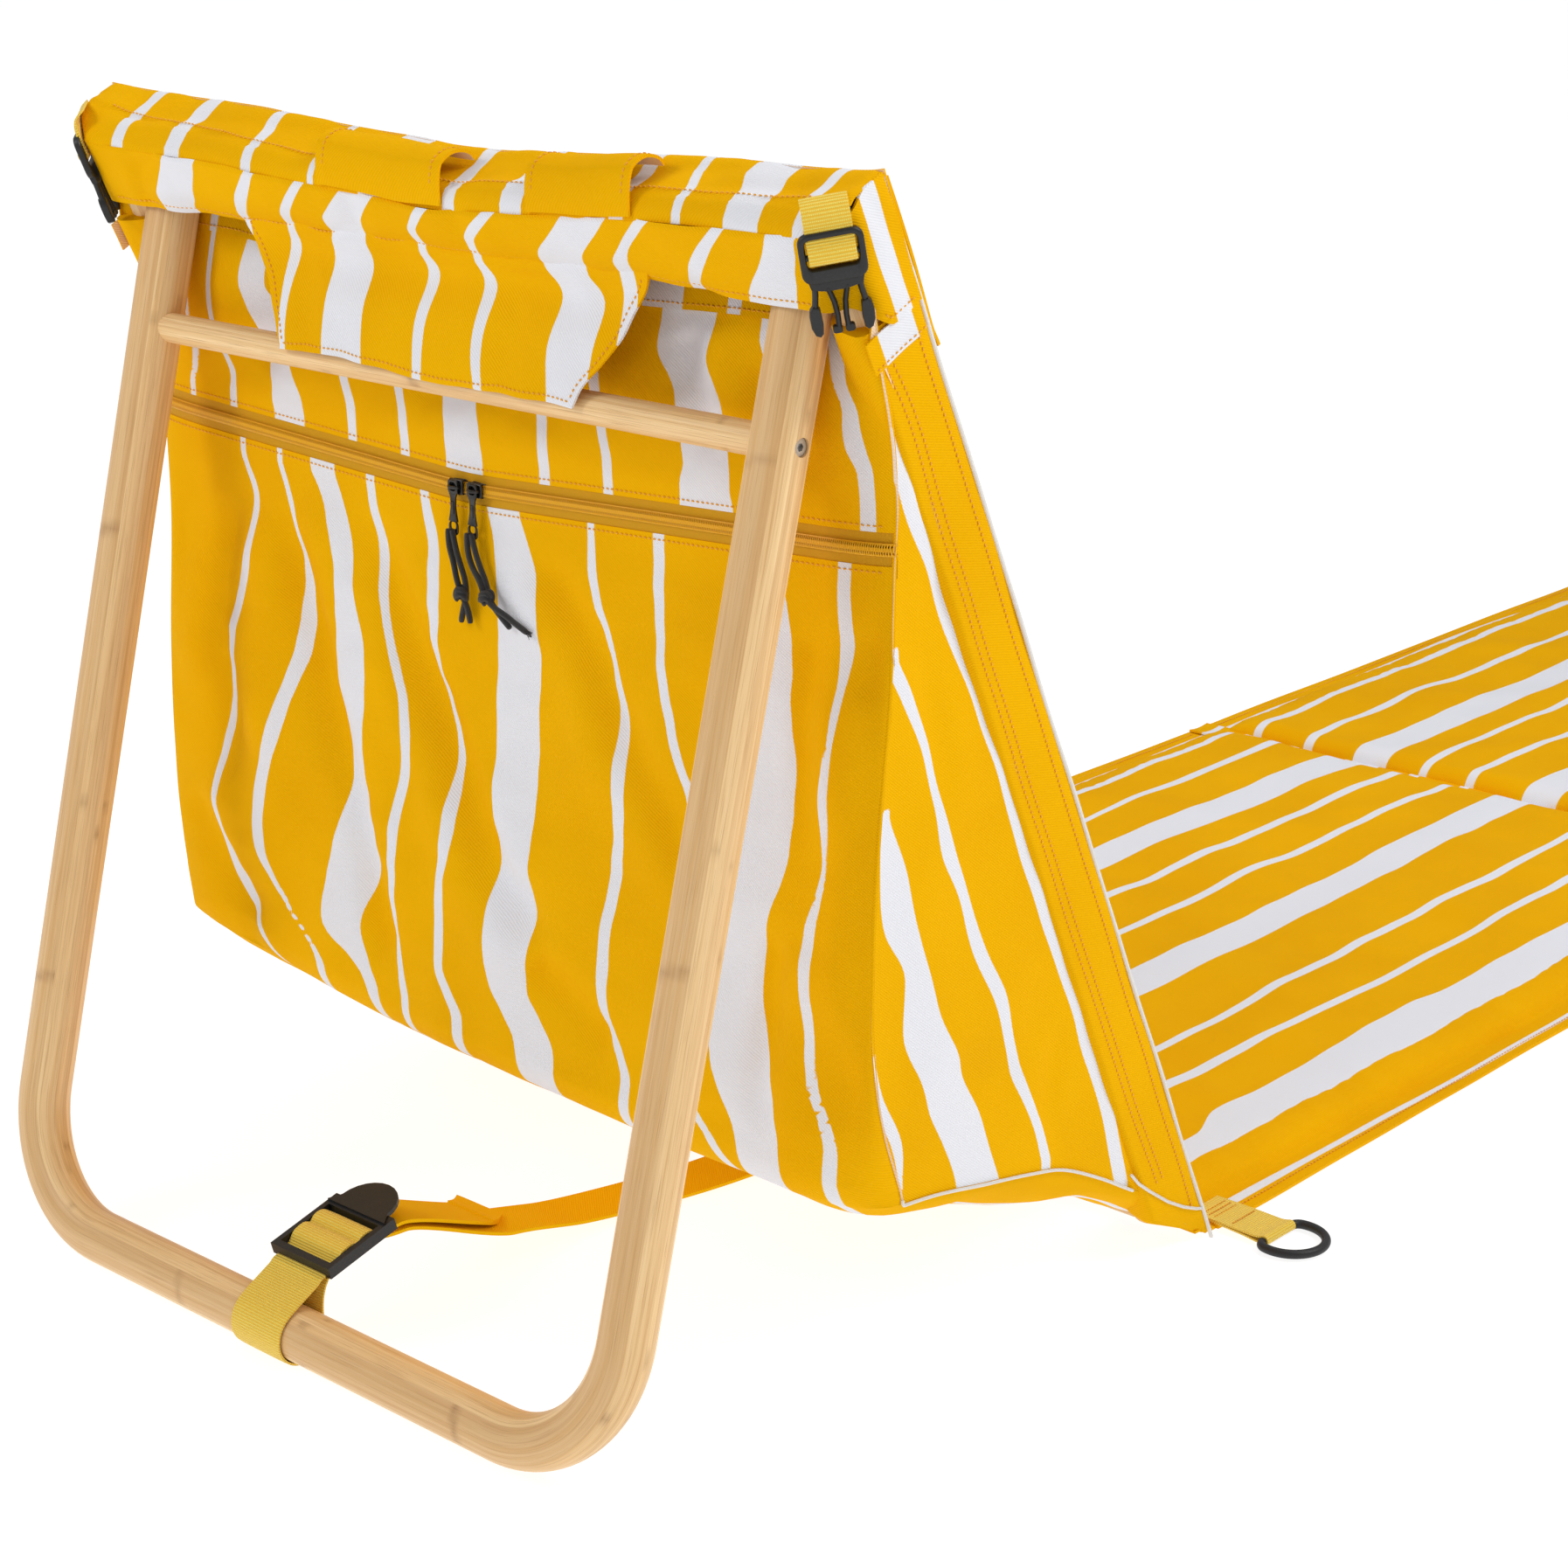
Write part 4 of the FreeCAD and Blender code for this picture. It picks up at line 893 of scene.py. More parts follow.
REAR_T = [
    [(445, 207, 203), (420, 198, 192), (380, 204, 194), (340, 219, 209), (300, 224, 219), (260, 230, 223),
     (220, 233, 227), (180, 222, 209), (150, 190, 186), (120, 165, 161)],
    [(445, 173, 171), (420, 163, 159), (380, 158, 152), (340, 160, 150), (300, 171, 160), (260, 185, 174),
     (220, 192, 183), (180, 172, 169), (150, 142, 135)],
    [(445, 145, 124), (420, 127, 111), (380, 119, 103), (340, 121, 91), (300, 117, 96), (260, 119, 97),
     (220, 131, 93), (180, 136, 103), (150, 99, 88)],
    [(445, 97, 90), (420, 93, 86), (380, 85, 80), (340, 70, 66), (300, 65, 57), (260, 72, 64), (220, 74, 67),
     (180, 72, 67), (150, 67, 60)],
    [(445, 52, 45), (420, 47, 38), (380, 46, 37), (340, 42, 35), (300, 27, 23), (260, 26, 17), (220, 33, 25),
     (180, 34, 26), (150, 21, 13)],
    [(445, -2, -27), (420, -10, -39), (380, -11, -45), (340, -9, -44), (300, -9, -44), (260, -14, -43),
     (220, -12, -44), (180, -11, -40), (150, -28, -58)],
    [(445, -79, -84), (420, -81, -88), (380, -95, -101), (340, -105, -111), (300, -104, -113), (260, -98, -106),
     (220, -93, -101), (180, -94, -102), (150, -113, -121)],
    [(445, -127, -135), (420, -128, -136), (380, -136, -143), (340, -146, -152), (300, -158, -165),
     (260, -155, -163), (220, -150, -158), (180, -150, -158), (150, -160, -168), (120, -185, -193)],
    [(445, -185, -215), (420, -188, -223), (380, -190, -224), (340, -193, -227), (300, -192, -227),
     (260, -182, -215), (220, -174, -210), (180, -182, -218), (150, -195, -228)],
    [(445, -253, -261), (420, -254, -262), (380, -256, -259), (340, -249, -257), (300, -251, -255),
     (260, -241, -249), (220, -242, -249), (180, -245, -251), (150, -257, -264)],
]
REAR_T = extend(REAR_T, 4, [85, 40, -10, -60, -110, -170], 6.0)
UPPER_T = [
    [(560, 215, 209), (570, 213, 211), (600, 224, 222), (610, 226, 223), (620, 227, 223), (650, 224, 220)],
    [(560, 252, 247), (580, 245, 239), (600, 247, 242), (630, 256, 251)],
    [(552, 175, 149), (560, 177, 151), (570, 176, 152), (600, 184, 160), (610, 191, 165), (620, 196, 173), (648, 188, 168)],
    [(552, 111, 104), (570, 111, 104), (600, 114, 107)], [(552, 67, 60), (600, 70, 63)],
    [(552, 30, 1), (600, 34, 5)], [(552, -43, -51), (600, -40, -48)], [(552, -91, -98), (600, -86, -93)],
    [(552, -146, -183), (560, -146, -180), (570, -149, -180), (600, -146, -180), (610, -141, -174),
     (620, -133, -168), (631, -134, -171)],
    [(552, -197, -203), (570, -203, -210), (600, -212, -220), (618, -208, -217), (631, -201, -211)],
    [(560, -266, -275), (580, -266, -275), (590, -261, -272), (600, -259, -269), (610, -258, -267), (620, -251, -260), (634, -246, -256)],
]
BAND_T = [[(640, c - w / 2, c + w / 2)] for c, w in
          [(-135, 28), (-183, 9), (-232, 5), (-262, 36), (-96, 8), (-60, 7), (-15, 30), (30, 8), (72, 7), (118, 30),
           (160, 8), (222, 7), (262, 24)]]
NEAR_T = [
    [(520, 293, 282), (480, 277, 266), (450, 259, 248), (420, 246, 235), (390, 229, 221), (360, 215, 207),
     (330, 201, 193), (300, 189, 178), (270, 176, 164), (240, 162, 151), (210, 147, 136), (180, 133, 122),
     (150, 121, 109), (120, 107, 96), (90, 98, 87), (60, 88, 77)],
    [(410, 291, 281), (390, 279, 269), (360, 262, 255), (330, 253, 247), (300, 245, 234), (270, 228, 220),
     (240, 219, 209), (210, 202, 192), (180, 190, 182), (150, 177, 169), (120, 163, 155), (100, 157, 149)],
    [(330, 292, 285), (300, 292, 272), (270, 288, 265), (240, 271, 253), (210, 271, 242), (180, 259, 226),
     (150, 246, 211), (120, 232, 201), (100, 226, 193)],
    [(200, 300, 293), (180, 296, 287), (150, 280, 272), (120, 272, 270), (110, 270, 268)],
]


def near_print(y, z):
    d = np.full(np.shape(y), 60.0)
    for rows in NEAR_T:
        vs = [r[0] for r in rows]
        lo, hi = min(vs), max(vs)
        a, b = curve1(z, vs, [r[2] for r in rows]), curve1(z, vs, [r[1] for r in rows])
        w = (b - a) / 2
        k = np.maximum(a - y, y - b)
        k = np.where(z > hi, np.maximum(k, (z - hi) * 0.6 - w), k)
        d = np.minimum(d, k * 0.86)
    return d


def squashed(ob, body="backrest"):
    if body:
        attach(ob, body)
    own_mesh(ob)
    return ob


def side_path(sign, n_rear=90, n_low=52):
    """The side seam of the bag: down the rear edge, then forward under the gusset."""
    zr = np.linspace(592, 114, n_rear)
    lift = 22.0 * ss((300 - zr) / 186) if sign > 0 else 0 * zr
    rear = np.stack([curve1(zr, *YS), zr + lift], 1)
    pts = np.array([(269, 114), (240, 112), (205, 106), (159, 97), (139, 92), (105, 75), (69, 53), (45, 40), (25, 26), (15, 14)], float)
    s = np.concatenate([[0], np.cumsum(np.hypot(*np.diff(pts, axis=0).T))])
    t = np.linspace(0, s[-1], n_low)
    low = np.stack([curve1(t, s, pts[:, 0]), curve1(t, s, pts[:, 1])], 1)
    if sign > 0:
        low[:, 1] += 22.0 * ss((low[:, 0] - 40) / 229)
    return rear, low


def low_mid(x, t):
    """The middle line of the bag's underside, from the rear edge forward."""
    zb = curve1(x, *ZB)
    ys = np.array([299, 278, 220, 159, 90, 48, 20], float)
    zs = np.array([118, 104, 88, 66, 43, 23, 7], float)
    s = np.array([0, 0.083, 0.30, 0.52, 0.77, 0.92, 1.0])
    y = curve1(t, s, ys)
    z = curve1(t, s, zs) + (zb - 124) * np.clip(1 - t, 0, 1) ** 1.4
    return y, z


bag = Shell()
# the rear panel and, round the bottom edge, the underside
N_R, N_C, N_L = 78, 9, 50
rear_s = {s: side_path(s) for s in (-1, 1)}
rows_P, rows_V = [], []
for i in range(N_R + N_C + N_L):
    if i < N_R:
        q = i / (N_R - 1)
        zc_ref = 440 - q * (440 - 130)
        xs = curve1(zc_ref, *XS)
        x = columns([xs])[0]
        z0, z1 = zzip(x) - 8.4, curve1(x, *ZB) + 13
        z1 = z1 + (np.where(x > 0, 136, 122) - z1) * zone(x, zc_ref)
        z = z0 + (z1 - z0) * q
        y = rear_y(x, z)
        rows_P.append(wp(x, y, z))
        rows_V.append(z)
        if i == N_R - 1:
            x_end, y_end, z_end = x, y, z
        continue
    if i < N_R + N_C:
        q = (i - N_R + 1) / N_C
        t = 0.0
    else:
        q = 1.0
        t = (i - N_R - N_C + 1) / N_L
    xs = 279.5 + (283.5 - 279.5) * ss(t * 4) * (1 - ss((t - 0.7) / 0.3) * -0.6)
    x = columns([xs])[0]
    e = zone(x * 279.5 / xs, 120.0)
    ly, lz = low_mid(x, np.full(x.shape, t))
    if i < N_R + N_C:
        an = q * math.radians(100)
        cy = y_end - 13.5 * (1 - np.cos(an)) * 1.0
        cz = z_end - 13.5 * np.sin(an)
        my = cy + (ly - (y_end - 13.5 * (1 - math.cos(math.radians(100))))) * q ** 2
        mz = cz + (lz - (z_end - 13.5 * math.sin(math.radians(100)))) * q ** 2
        sy = np.where(x > 0, 269.0, 269.0) + (y_end - 269.0) * (1 - q) * 1.0
        sz = np.where(x > 0, 136.0, 114.0) + (z_end - np.where(x > 0, 136.0, 114.0)) * (1 - q)
        y = my + (sy - my) * e
        z = mz + (sz - mz) * e
        v = z_end - 16 * q
    else:
        low = {s: rear_s[s][1] for s in (-1, 1)}
        k = t * (len(low[1]) - 1)
        idx = np.arange(len(low[1]))
        sy = np.where(x > 0, np.interp(k, idx, low[1][:, 0]), np.interp(k, idx, low[-1][:, 0]))
        sz = np.where(x > 0, np.interp(k, idx, low[1][:, 1]), np.interp(k, idx, low[-1][:, 1]))
        o = 2.0 * w1(x, t * 260) + 1.4 * w2(x, t * 260)
        o = o + fold(x, 120 - t * 260 + 0 * x, [(-150, 60), (-200, 20), (-235, -40)], 4.5, 13, 1.8)
        o = o + fold(x, 120 - t * 260 + 0 * x, [(60, 80), (90, 20), (100, -50)], 4.5, 16, 1.8)
        edge = ss(t * 7) * ss((1 - t) * 7) * (1 - ss((np.abs(x) - (xs - 18)) / 18))
        y = ly + (sy - ly) * e
        z = lz + (sz - lz) * e - o * edge
        v = z_end - 16 - t * 260
    rows_P.append(wp(x, y, z))
    rows_V.append(v)
P = np.stack(rows_P)
Vv = np.stack(rows_V)
D = stripes(P[..., 0], Vv, REAR_T)
bag.thick(P, 1.3, P[..., 0], Vv, D, flip=True)
REAR_GRID = P
# the upper panel, up into the hood
N_U = 46
rows_P = []
for i in range(N_U):
    q = i / (N_U - 1)
    zref = 592 - q * (592 - 467)
    x = columns([curve1(zref, *XS)])[0]
    z0 = zzip(x) + 8.4
    z = 592 + (z0 - 592) * q
    rows_P.append(wp(x, rear_y(x, z), z))
P = np.stack(rows_P)
A, _ = to_ar(P[..., 1] - Y0, P[..., 2])
UPPER_GRID = P
D = stripes(P[..., 0], A, UPPER_T)
bag.thick(P, 1.3, P[..., 0], P[..., 2], D, flip=True)
# its folded hem, under the hood
zh0, zh1 = 571.5, 590.0
rows_P = []
for q in np.linspace(0, 1, 12):
    x = columns([287.2])[0]
    low = 571 - 3.5 * ss((x + 210) / 120) + 4.0 * ss((x - 150) / 60)
    z = zh1 + (low - zh1) * q
    p, n = rear_at(x, z)
    rows_P.append(p + n * (1.6 + 0.25 * w2(x, z))[:, None])
P = np.stack(rows_P)
A, _ = to_ar(P[..., 1] - Y0, P[..., 2])
bag.thick(P, 1.0, P[..., 0], P[..., 2], stripes(P[..., 0], A, BAND_T), flip=True)
HEM_LOW = P[-1]

# gussets, from the bag's own edges to the sleeves
GUS = {}
SEAM_A = [650, 602, 549, 511, 300, 150, 80, 45, 22]
SEAM_R = [35.5, 31, 31.7, 32.6, 32, 31, 29, 25, 14]


def along(path, t):
    s = np.concatenate([[0], np.cumsum(np.linalg.norm(np.diff(path, axis=0), axis=1))])
    return np.stack([np.interp(t * s[-1], s, path[:, k]) for k in range(3)], -1)


for sg in (-1, 1):
    k0 = 0 if sg > 0 else -1
    rear = np.concatenate([UPPER_GRID[:, k0], REAR_GRID[:N_R + 5, k0]])
    low = REAR_GRID[N_R + 4:, k0]
    a_f = np.linspace(650, 22, 70)
    r_f = curve1(a_f, SEAM_A, SEAM_R)
    front = bp(sg * (286.0 + 0 * a_f), a_f, r_f)
    low = np.concatenate([low[:-3], front[-1:]])
    nv, nu = 110, 84
    v, u = np.linspace(0, 1, nv), np.linspace(0, 1, nu)
    uu, vv = u[None, :, None], v[:, None, None]
    L, R = along(rear, v)[:, None, :], along(front, v)[:, None, :]
    top, bot = along(np.stack([rear[0], front[0]]), u)[None], along(low, u)[None]
    P = (L * (1 - uu) + R * uu + top * (1 - vv) + bot * vv
         - ((1 - uu) * (1 - vv) * rear[0] + uu * (1 - vv) * front[0] + (1 - uu) * vv * rear[-1] + uu * vv * front[-1]))
    y, z = P[..., 1] - Y0, P[..., 2]
    u2, v2 = np.broadcast_to(u[None, :], y.shape), np.broadcast_to(v[:, None], y.shape)
    body = np.sin(math.pi * u2) ** 0.6 * ss(v2 * 6) * ss((1 - v2) * 7)
    puff = -2.0 + 1.7 * w1(y * 1.2, z) + 0.9 * w2(y, z)
    puff = puff + fold(y, z, [(262, 150), (222, 168), (170, 150)], 2.8, 12, 1.4)
    puff = puff + fold(y, z, [(140, 92), (150, 130), (140, 175)], 2.4, 9, 1.4)
    puff = puff + fold(y, z, [(285, 440), (262, 400), (240, 330)], 2.4, 12, -1.2)
    puff = puff + fold(y, z, [(60, 70), (85, 105), (105, 165)], 1.6, 9, 1.0)
    P = P + EX * (sg * puff * body)[..., None]
    D = near_print(y + (14 if sg > 0 else 0), z)
    bag.thick(P, 1.2, y, z, D, flip=(sg < 0))
    GUS[sg] = dict(low=P[-1], front=P[:, -1], rear=P[:, 0], P=P)
    # the seam allowance turns in along both edges
    for path in (rear, low):
        bag.tube(resample(path, 3.0) - EX * sg * 1.1, 1.25, 8)

bag_ob = bag.build("bag", M["canvas"], angle=60)
squashed(bag_ob)
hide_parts("bag_upper_panel", "bag_rear_panel", "bag_bottom_panel", "bag_side_left", "bag_side_right")

pip = Shell()
for sg in (-1, 1):
    line = resample(GUS[sg]["low"], 2.0)
    line = line[line[:, 1] - Y0 > 72]
    pip.tube(line + EX * sg * 1.0 - np.array([0, 0, 0.6]), 0.95, 8)
piping = pip.build("bag_piping", M["piping"])
squashed(piping)

st = Stitches()
xx = np.arange(-279, 280, 1.5)
for off, fn in ((-11.4, 1), (11.4, 1)):
    z = zzip(xx) + off
    p, n = rear_at(xx, z)
    st.line(p, n, seed=int(off) + 40)
x = columns([287.2])[0][8:-8]
low = 571 - 3.5 * ss((x + 210) / 120) + 4.0 * ss((x - 150) / 60)
p, n = rear_at(x, low + 3.0)
st.line(p + n * 1.75, n, seed=9)
bag_stitch = st.build("bag_stitches")
squashed(bag_stitch)

# ------------------------------------------------------------------ zipper
tape, teeth = Shell(), Shell()
xx = np.linspace(-285.2, 285.2, 280)[::-1]
for lo, hi in ((1.7, 14.5), (-14.5, -1.7)):
    rows = []
    for q in np.linspace(0, 1, 8):
        dn = hi + (lo - hi) * q
        lift = -0.55 + (0.55 if abs(dn) < 2.6 else 0.0)
        rows.append(rear_at(xx, zzip(xx) - dn, lift)[0])
    P = np.stack(rows)[::-1]
    tape.thick(P, 0.7, P[..., 0], P[..., 2], flip=True)
tape_ob = tape.build("zip_tape", M["tape"])
squashed(tape_ob)
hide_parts("zipper_tapes")
# the coil: small hooked ribs from both sides of the middle
k = 0
x = -284.0
while x < 284.5:
    sgn = 1 if k % 2 else -1
    c, n = rear_at(x, zzip(x) - 0.0)
    n = n.reshape(3)
    dn = np.array([0, 0.027, -1.0]) * sgn
    al = EX
    base = c.reshape(3)
    pts = [base + dn * q[0] + n * q[1] + al * q[2] for q in
           ((2.55, 0.35, 0), (2.5, 1.25, 0.05), (1.7, 1.75, 0.1), (0.2, 1.72, 0.1), (-0.75, 1.5, 0.1), (-0.95, 0.9, 0.1))]
    teeth.tube(pts, 0.40, 6, ends=True)
    x += 0.62
    k += 1
for sgn in (1, -1):
    for dd, hh, rr in ((2.75, 0.65, 0.55),):
        p, n = rear_at(xx, zzip(xx) - sgn * dd)
        teeth.tube(p + n * hh, rr, 6)
coil_ob = teeth.build("zip_coil", M["coil"])
squashed(coil_ob)
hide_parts("zipper_coil")


def rounded(sh, P0, ex, ey, ez, outline, z0, z1, bevel=0.35, mat=0, layers=None):
    """A plate with an outline in (ex, ey), between two heights, edges eased."""
    outline = np.asarray(outline, float)
    c = outline.mean(0)
    n = len(outline)
    edge = np.roll(outline, -1, 0) - np.roll(outline, 1, 0)
    nr = np.stack([edge[:, 1], -edge[:, 0]], 1)
    nr /= np.linalg.norm(nr, axis=1, keepdims=True)
    area = 0.5 * np.sum(outline[:, 0] * np.roll(outline[:, 1], -1) - np.roll(outline[:, 0], -1) * outline[:, 1])
    if area < 0:
        outline, nr = outline[::-1], -nr[::-1] * -1
        edge = np.roll(outline, -1, 0) - np.roll(outline, 1, 0)
        nr = np.stack([edge[:, 1], -edge[:, 0]], 1)
        nr /= np.linalg.norm(nr, axis=1, keepdims=True)
    rings = []
    for h, inset in ((z0, bevel), (z0 + bevel * 0.3, bevel * 0.3), (z0 + bevel, 0), (z1 - bevel, 0),
                     (z1 - bevel * 0.3, bevel * 0.3), (z1, bevel)):
        o = outline - nr * inset
        rings.append(P0 + o[:, :1] * ex + o[:, 1:] * ey + ez * h)
    P = np.stack(rings)
    flip = np.dot(np.cross(ex, ey), ez) < 0
    sh.grid(P, flip=flip, mat=mat, wrap=True)
    for ring, fl in ((P[0], not flip), (P[-1], flip)):
        f = tuple(range(n))
        sh.add(ring, [f[::-1] if fl else f], mat=mat)


def round_rect(w, h, r, n=5, cx=0.0, cy=0.0):
    pts = []
    for sx, sy, a0 in ((1, 1, 0), (-1, 1, 90), (-1, -1, 180), (1, -1, 270)):
        for k in range(n + 1):
            a = math.radians(a0 + 90 * k / n)
            pts.append((cx + sx * (w / 2 - r) + r * math.cos(a), cy + sy * (h / 2 - r) + r * math.sin(a)))
    return pts


for side, sx, pull_x in (("left", 18.6, 18.6), ("right", 3.4, 3.4)):
    s = 1 if side == "left" else -1
    o = zp(sx, -0.365, 0)
    sl = Shell()
    ex = EX
    # body: two plates joined by a neck, wider where the coil goes in
    body = [(-6, -3.2), (-4.4, -4.2), (4.6, -3.7), (6, -2.6), (6, 2.6), (4.6, 3.7), (-4.4, 4.2), (-6, 3.2)]
    body = [(q[0] * s, q[1]) for q in body]
    rounded(sl, o, ex, ZD, ZN, body, 3.1, 4.5, 0.4)
    rounded(sl, o, ex, ZD, ZN, body, 0.15, 0.8, 0.2)
    for fy in (-1, 1):
        fl = [(-5.4 * s, 3.1 * fy), (5.2 * s, 3.0 * fy), (5.2 * s, 3.9 * fy), (-5.4 * s, 4.1 * fy)]
        rounded(sl, o, ex, ZD, ZN, fl, 2.2, 3.5, 0.2)
    rounded(sl, o, ex, ZD, ZN, [(-4.5 * s, -1), (-1 * s, -1.6), (-1 * s, 1.6), (-4.5 * s, 1)], 0.6, 3.3, 0.15)
    # bridge over the top for the pull
    br = []
    for k in range(17):
        an = math.pi * k / 16
        br.append(o + ex * (3.6 * math.cos(an)) * s + ZN * (4.1 + 3.3 * math.sin(an) ** 0.8))
    sl.tube(np.array(br), 0.8, 8, flat=1.3, up=ZD)
    sl_ob = sl.build("slider_" + side, M["dark_metal"], angle=40)
    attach(sl_ob, "zip_slider_" + side)
    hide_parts("zip_slider_" + side)
    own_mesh(sl_ob)
    # pull: a flat tab with an eye at the top and a slot for the cords
    pl = Shell()
    po = zp(pull_x, -1.565, 0)

    def strip(outer, inner, z0, z1):
        """A flat ring between two outlines with the same number of points."""
        outer, inner = np.asarray(outer, float), np.asarray(inner, float)
        b = 0.3

        def ring(o2, h):
            return po + o2[:, :1] * ex + o2[:, 1:] * ZD + ZN * h
        co = outer.mean(0)
        ci = inner.mean(0)
        shrink = lambda o2, c2, d: c2 + (o2 - c2) * (1 - d / np.maximum(np.linalg.norm(o2 - c2, axis=1, keepdims=True), 1e-6))
        rings = [ring(inner, z0 + b), ring(shrink(inner, ci, -b), z0), ring(shrink(outer, co, b), z0), ring(outer, z0 + b),
                 ring(outer, z1 - b), ring(shrink(outer, co, b), z1), ring(shrink(inner, ci, -b), z1), ring(inner, z1 - b),
                 ring(inner, z0 + b)]
        pl.grid(np.stack(rings), wrap=True)
    strip(round_rect(7.2, 8.2, 2.2, cy=1.4), round_rect(4.6, 4.4, 1.5, cy=0.9), 5.0, 6.3)
    strip(round_rect(7.2, 8.0, 2.6, cy=23.9), round_rect(4.4, 3.9, 1.4, cy=22.4), 5.0, 6.3)
    neck = [(-2.9, 4.6), (-2.0, 7.0), (-1.9, 12.5), (-2.6, 16.5), (-3.4, 20.2), (3.4, 20.2), (2.6, 16.5), (1.9, 12.5), (2.0, 7.0), (2.9, 4.6)]
    rounded(pl, po, ex, ZD, ZN, neck, 5.0, 6.3, 0.3)
    rounded(pl, po, ex, ZD, ZN, [(-1.1, 9), (1.1, 9), (1.1, 16), (-1.1, 16)], 6.1, 6.7, 0.25)
    pl_ob = pl.build("pull_" + side, M["dark_metal"], angle=40, recalc=True)
    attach(pl_ob, "zip_pull_" + side)
    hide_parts("zip_pull_" + side)
    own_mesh(pl_ob)

# ------------------------------------------------- side sleeves of the back
LOOP = [(289.9, 0.6), (290.6, 6), (289.8, 13), (288.8, 20), (287.8, 27), (287.0, 33), (286.4, 38.0), (281, 39.5),
        (270, 37), (260.5, 33), (256.5, 25), (256.5, 14), (259.5, 6), (266, 2.4), (279, 1.2)]
SW = {s: Waves(30 + s, 90) for s in (-1, 1)}


def sleeve_wave(sg, r, a):
    return 0.9 * SW[sg](r * 1.5, a)


for sg in (-1, 1):
    name = "left" if sg > 0 else "right"
    sl = Shell()
    a_rows = np.concatenate([np.linspace(4, 60, 22), np.linspace(66, 652, 118)])
    base = np.array(LOOP, float)
    rows = []
    per = resample(np.stack([base[:, 0], base[:, 1], 0 * base[:, 0]], 1)[list(range(len(base))) + [0]], 2.6)[:-1]
    ws = Waves(30 + sg, 90)
    for a in a_rows:
        k = np.clip((2.5 + (a - 3) * 0.86) / 39.5, 0.08, 1)
        x = per[:, 0] + sleeve_wave(sg, per[:, 1], a) * (per[:, 0] > 284)
        x = np.where(a < 30, 273 + (x - 273) * (0.72 + 0.28 * ss((a - 2) / 26)) * 1.0 + (1 - ss((a - 2) / 26)) * 4, x)
        rows.append(bp(sg * x, a + 0 * x, per[:, 1] * k))
    P = np.stack(rows)
    flip = sg > 0
    sl.grid(P, per[None, :, 1] + per[None, :, 0], a_rows[:, None], flip=flip, wrap=True)
    n = P.shape[1]
    for ring, fl in ((P[0], not flip), (P[-1], flip)):
        f = tuple(range(n))
        sl.add(ring, [f[::-1] if fl else f])
    so = sl.build("sleeve_" + name, M["canvas"], angle=60, recalc=True)
    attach(so, "backrest")
    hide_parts("side_sleeve_" + name)
    st = Stitches()
    aa = np.arange(70, 646, 2.0)
    rs = curve1(aa, [650, 602, 549, 511, 300, 150, 80], [35.5, 31, 31.7, 32.6, 32, 31, 29])
    for dr in (-1.6, -6.4):
        r = rs + dr
        x = np.interp(r, [l[1] for l in LOOP[:7]], [l[0] for l in LOOP[:7]])
        x = x + sleeve_wave(sg, r, aa)
        st.line(bp(sg * x, aa, r), (sg, 0, 0), seed=int(60 + dr))
    aa = np.arange(30, 646, 2.0)
    st.line(bp(sg * (290.4 + sleeve_wave(sg, 8.5, aa)), aa, 8.5 + 0 * aa), (sg, 0, 0), seed=66)
    so2 = st.build("sleeve_stitches_" + name)
    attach(so2, "backrest")
    pp = Shell()
    aa = np.linspace(-1, 716, 260)
    cross = []
    for a_, r_ in ((92, 43), (82, 40), (70, 34), (52, 24), (38, 14), (28, 5), (24, 0.5)):
        k_ = min((2.5 + (a_ - 3) * 0.86) / 39.5, 1)
        x_ = np.interp(r_ / k_, [l[1] for l in LOOP[:7]], [l[0] for l in LOOP[:7]]) + sleeve_wave(sg, r_ / k_, a_)
        cross.append(bp(sg * (float(x_) + 0.45), a_, r_).reshape(3))
    pp.tube(resample(np.array(cross), 2.0), 0.95, 8)
    pp.tube(bp(sg * (290.0 + 0.25 * np.sin(aa / 17)), aa, 0.2 + 0.3 * np.sin(aa / 29)), 1.25, 8)
    po = pp.build("front_piping_" + name, M["piping"])
    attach(po, "backrest")
    # the hem of the sleeve and gusset under the hood
    hb = Shell()
    rows = []
    for a in np.linspace(652, 635, 10):
        r = np.linspace(3.0, 41.5, 26)
        x = np.interp(r, [0.6, 6, 13, 20, 27, 33, 38, 44], [289.9, 290.4, 289.8, 288.9, 288.2, 288.0, 288.0, 288.2])
        rows.append(bp(sg * (x + 1.3 + 0.3 * np.sin(r / 5 + a / 9)), a - (r - 3) * 0.06, r))
    P = np.stack(rows)
    R = np.linspace(3.0, 41.5, 26)[None, :]
    hb.thick(P, 1.0, R, np.linspace(652, 635, 10)[:, None], np.maximum(9 - R, R - 33) * np.ones((10, 1)), flip=(sg > 0))
    ho = hb.build("gusset_hem_" + name, M["canvas"])
    squashed(ho)
    s2 = Stitches()
    s2.line(P[-2], (sg, 0, 0), seed=3)
    squashed(s2.build("gusset_hem_stitches_" + name))

# ------------------------------------------------------------------- hood
AT = ([-291.5, -284, -250, -200, -155, -114, -61, -21, 7, 31, 71, 128, 156, 222, 250, 273, 291.5],
      [720.5, 719, 717, 716.5, 714.5, 711, 707.5, 705, 705, 707, 708.5, 712, 714.5, 716, 717, 718, 719.5])
SEAM_X, SEAM_RR = [-291, -200, 20, 150, 275, 291], [26, 30, 33, 29, 21, 19]


def cap_drop(x, r):
    """The cap rolls down past its rear seam."""
    rs = np.interp(x, SEAM_X, SEAM_RR)
    return 9.5 * np.clip((r - rs) / (43.0 - rs), 0, 1) ** 1.5

hw1, hw2, hw3 = Waves(51, 120), Waves(57, 45), Waves(59, 20)


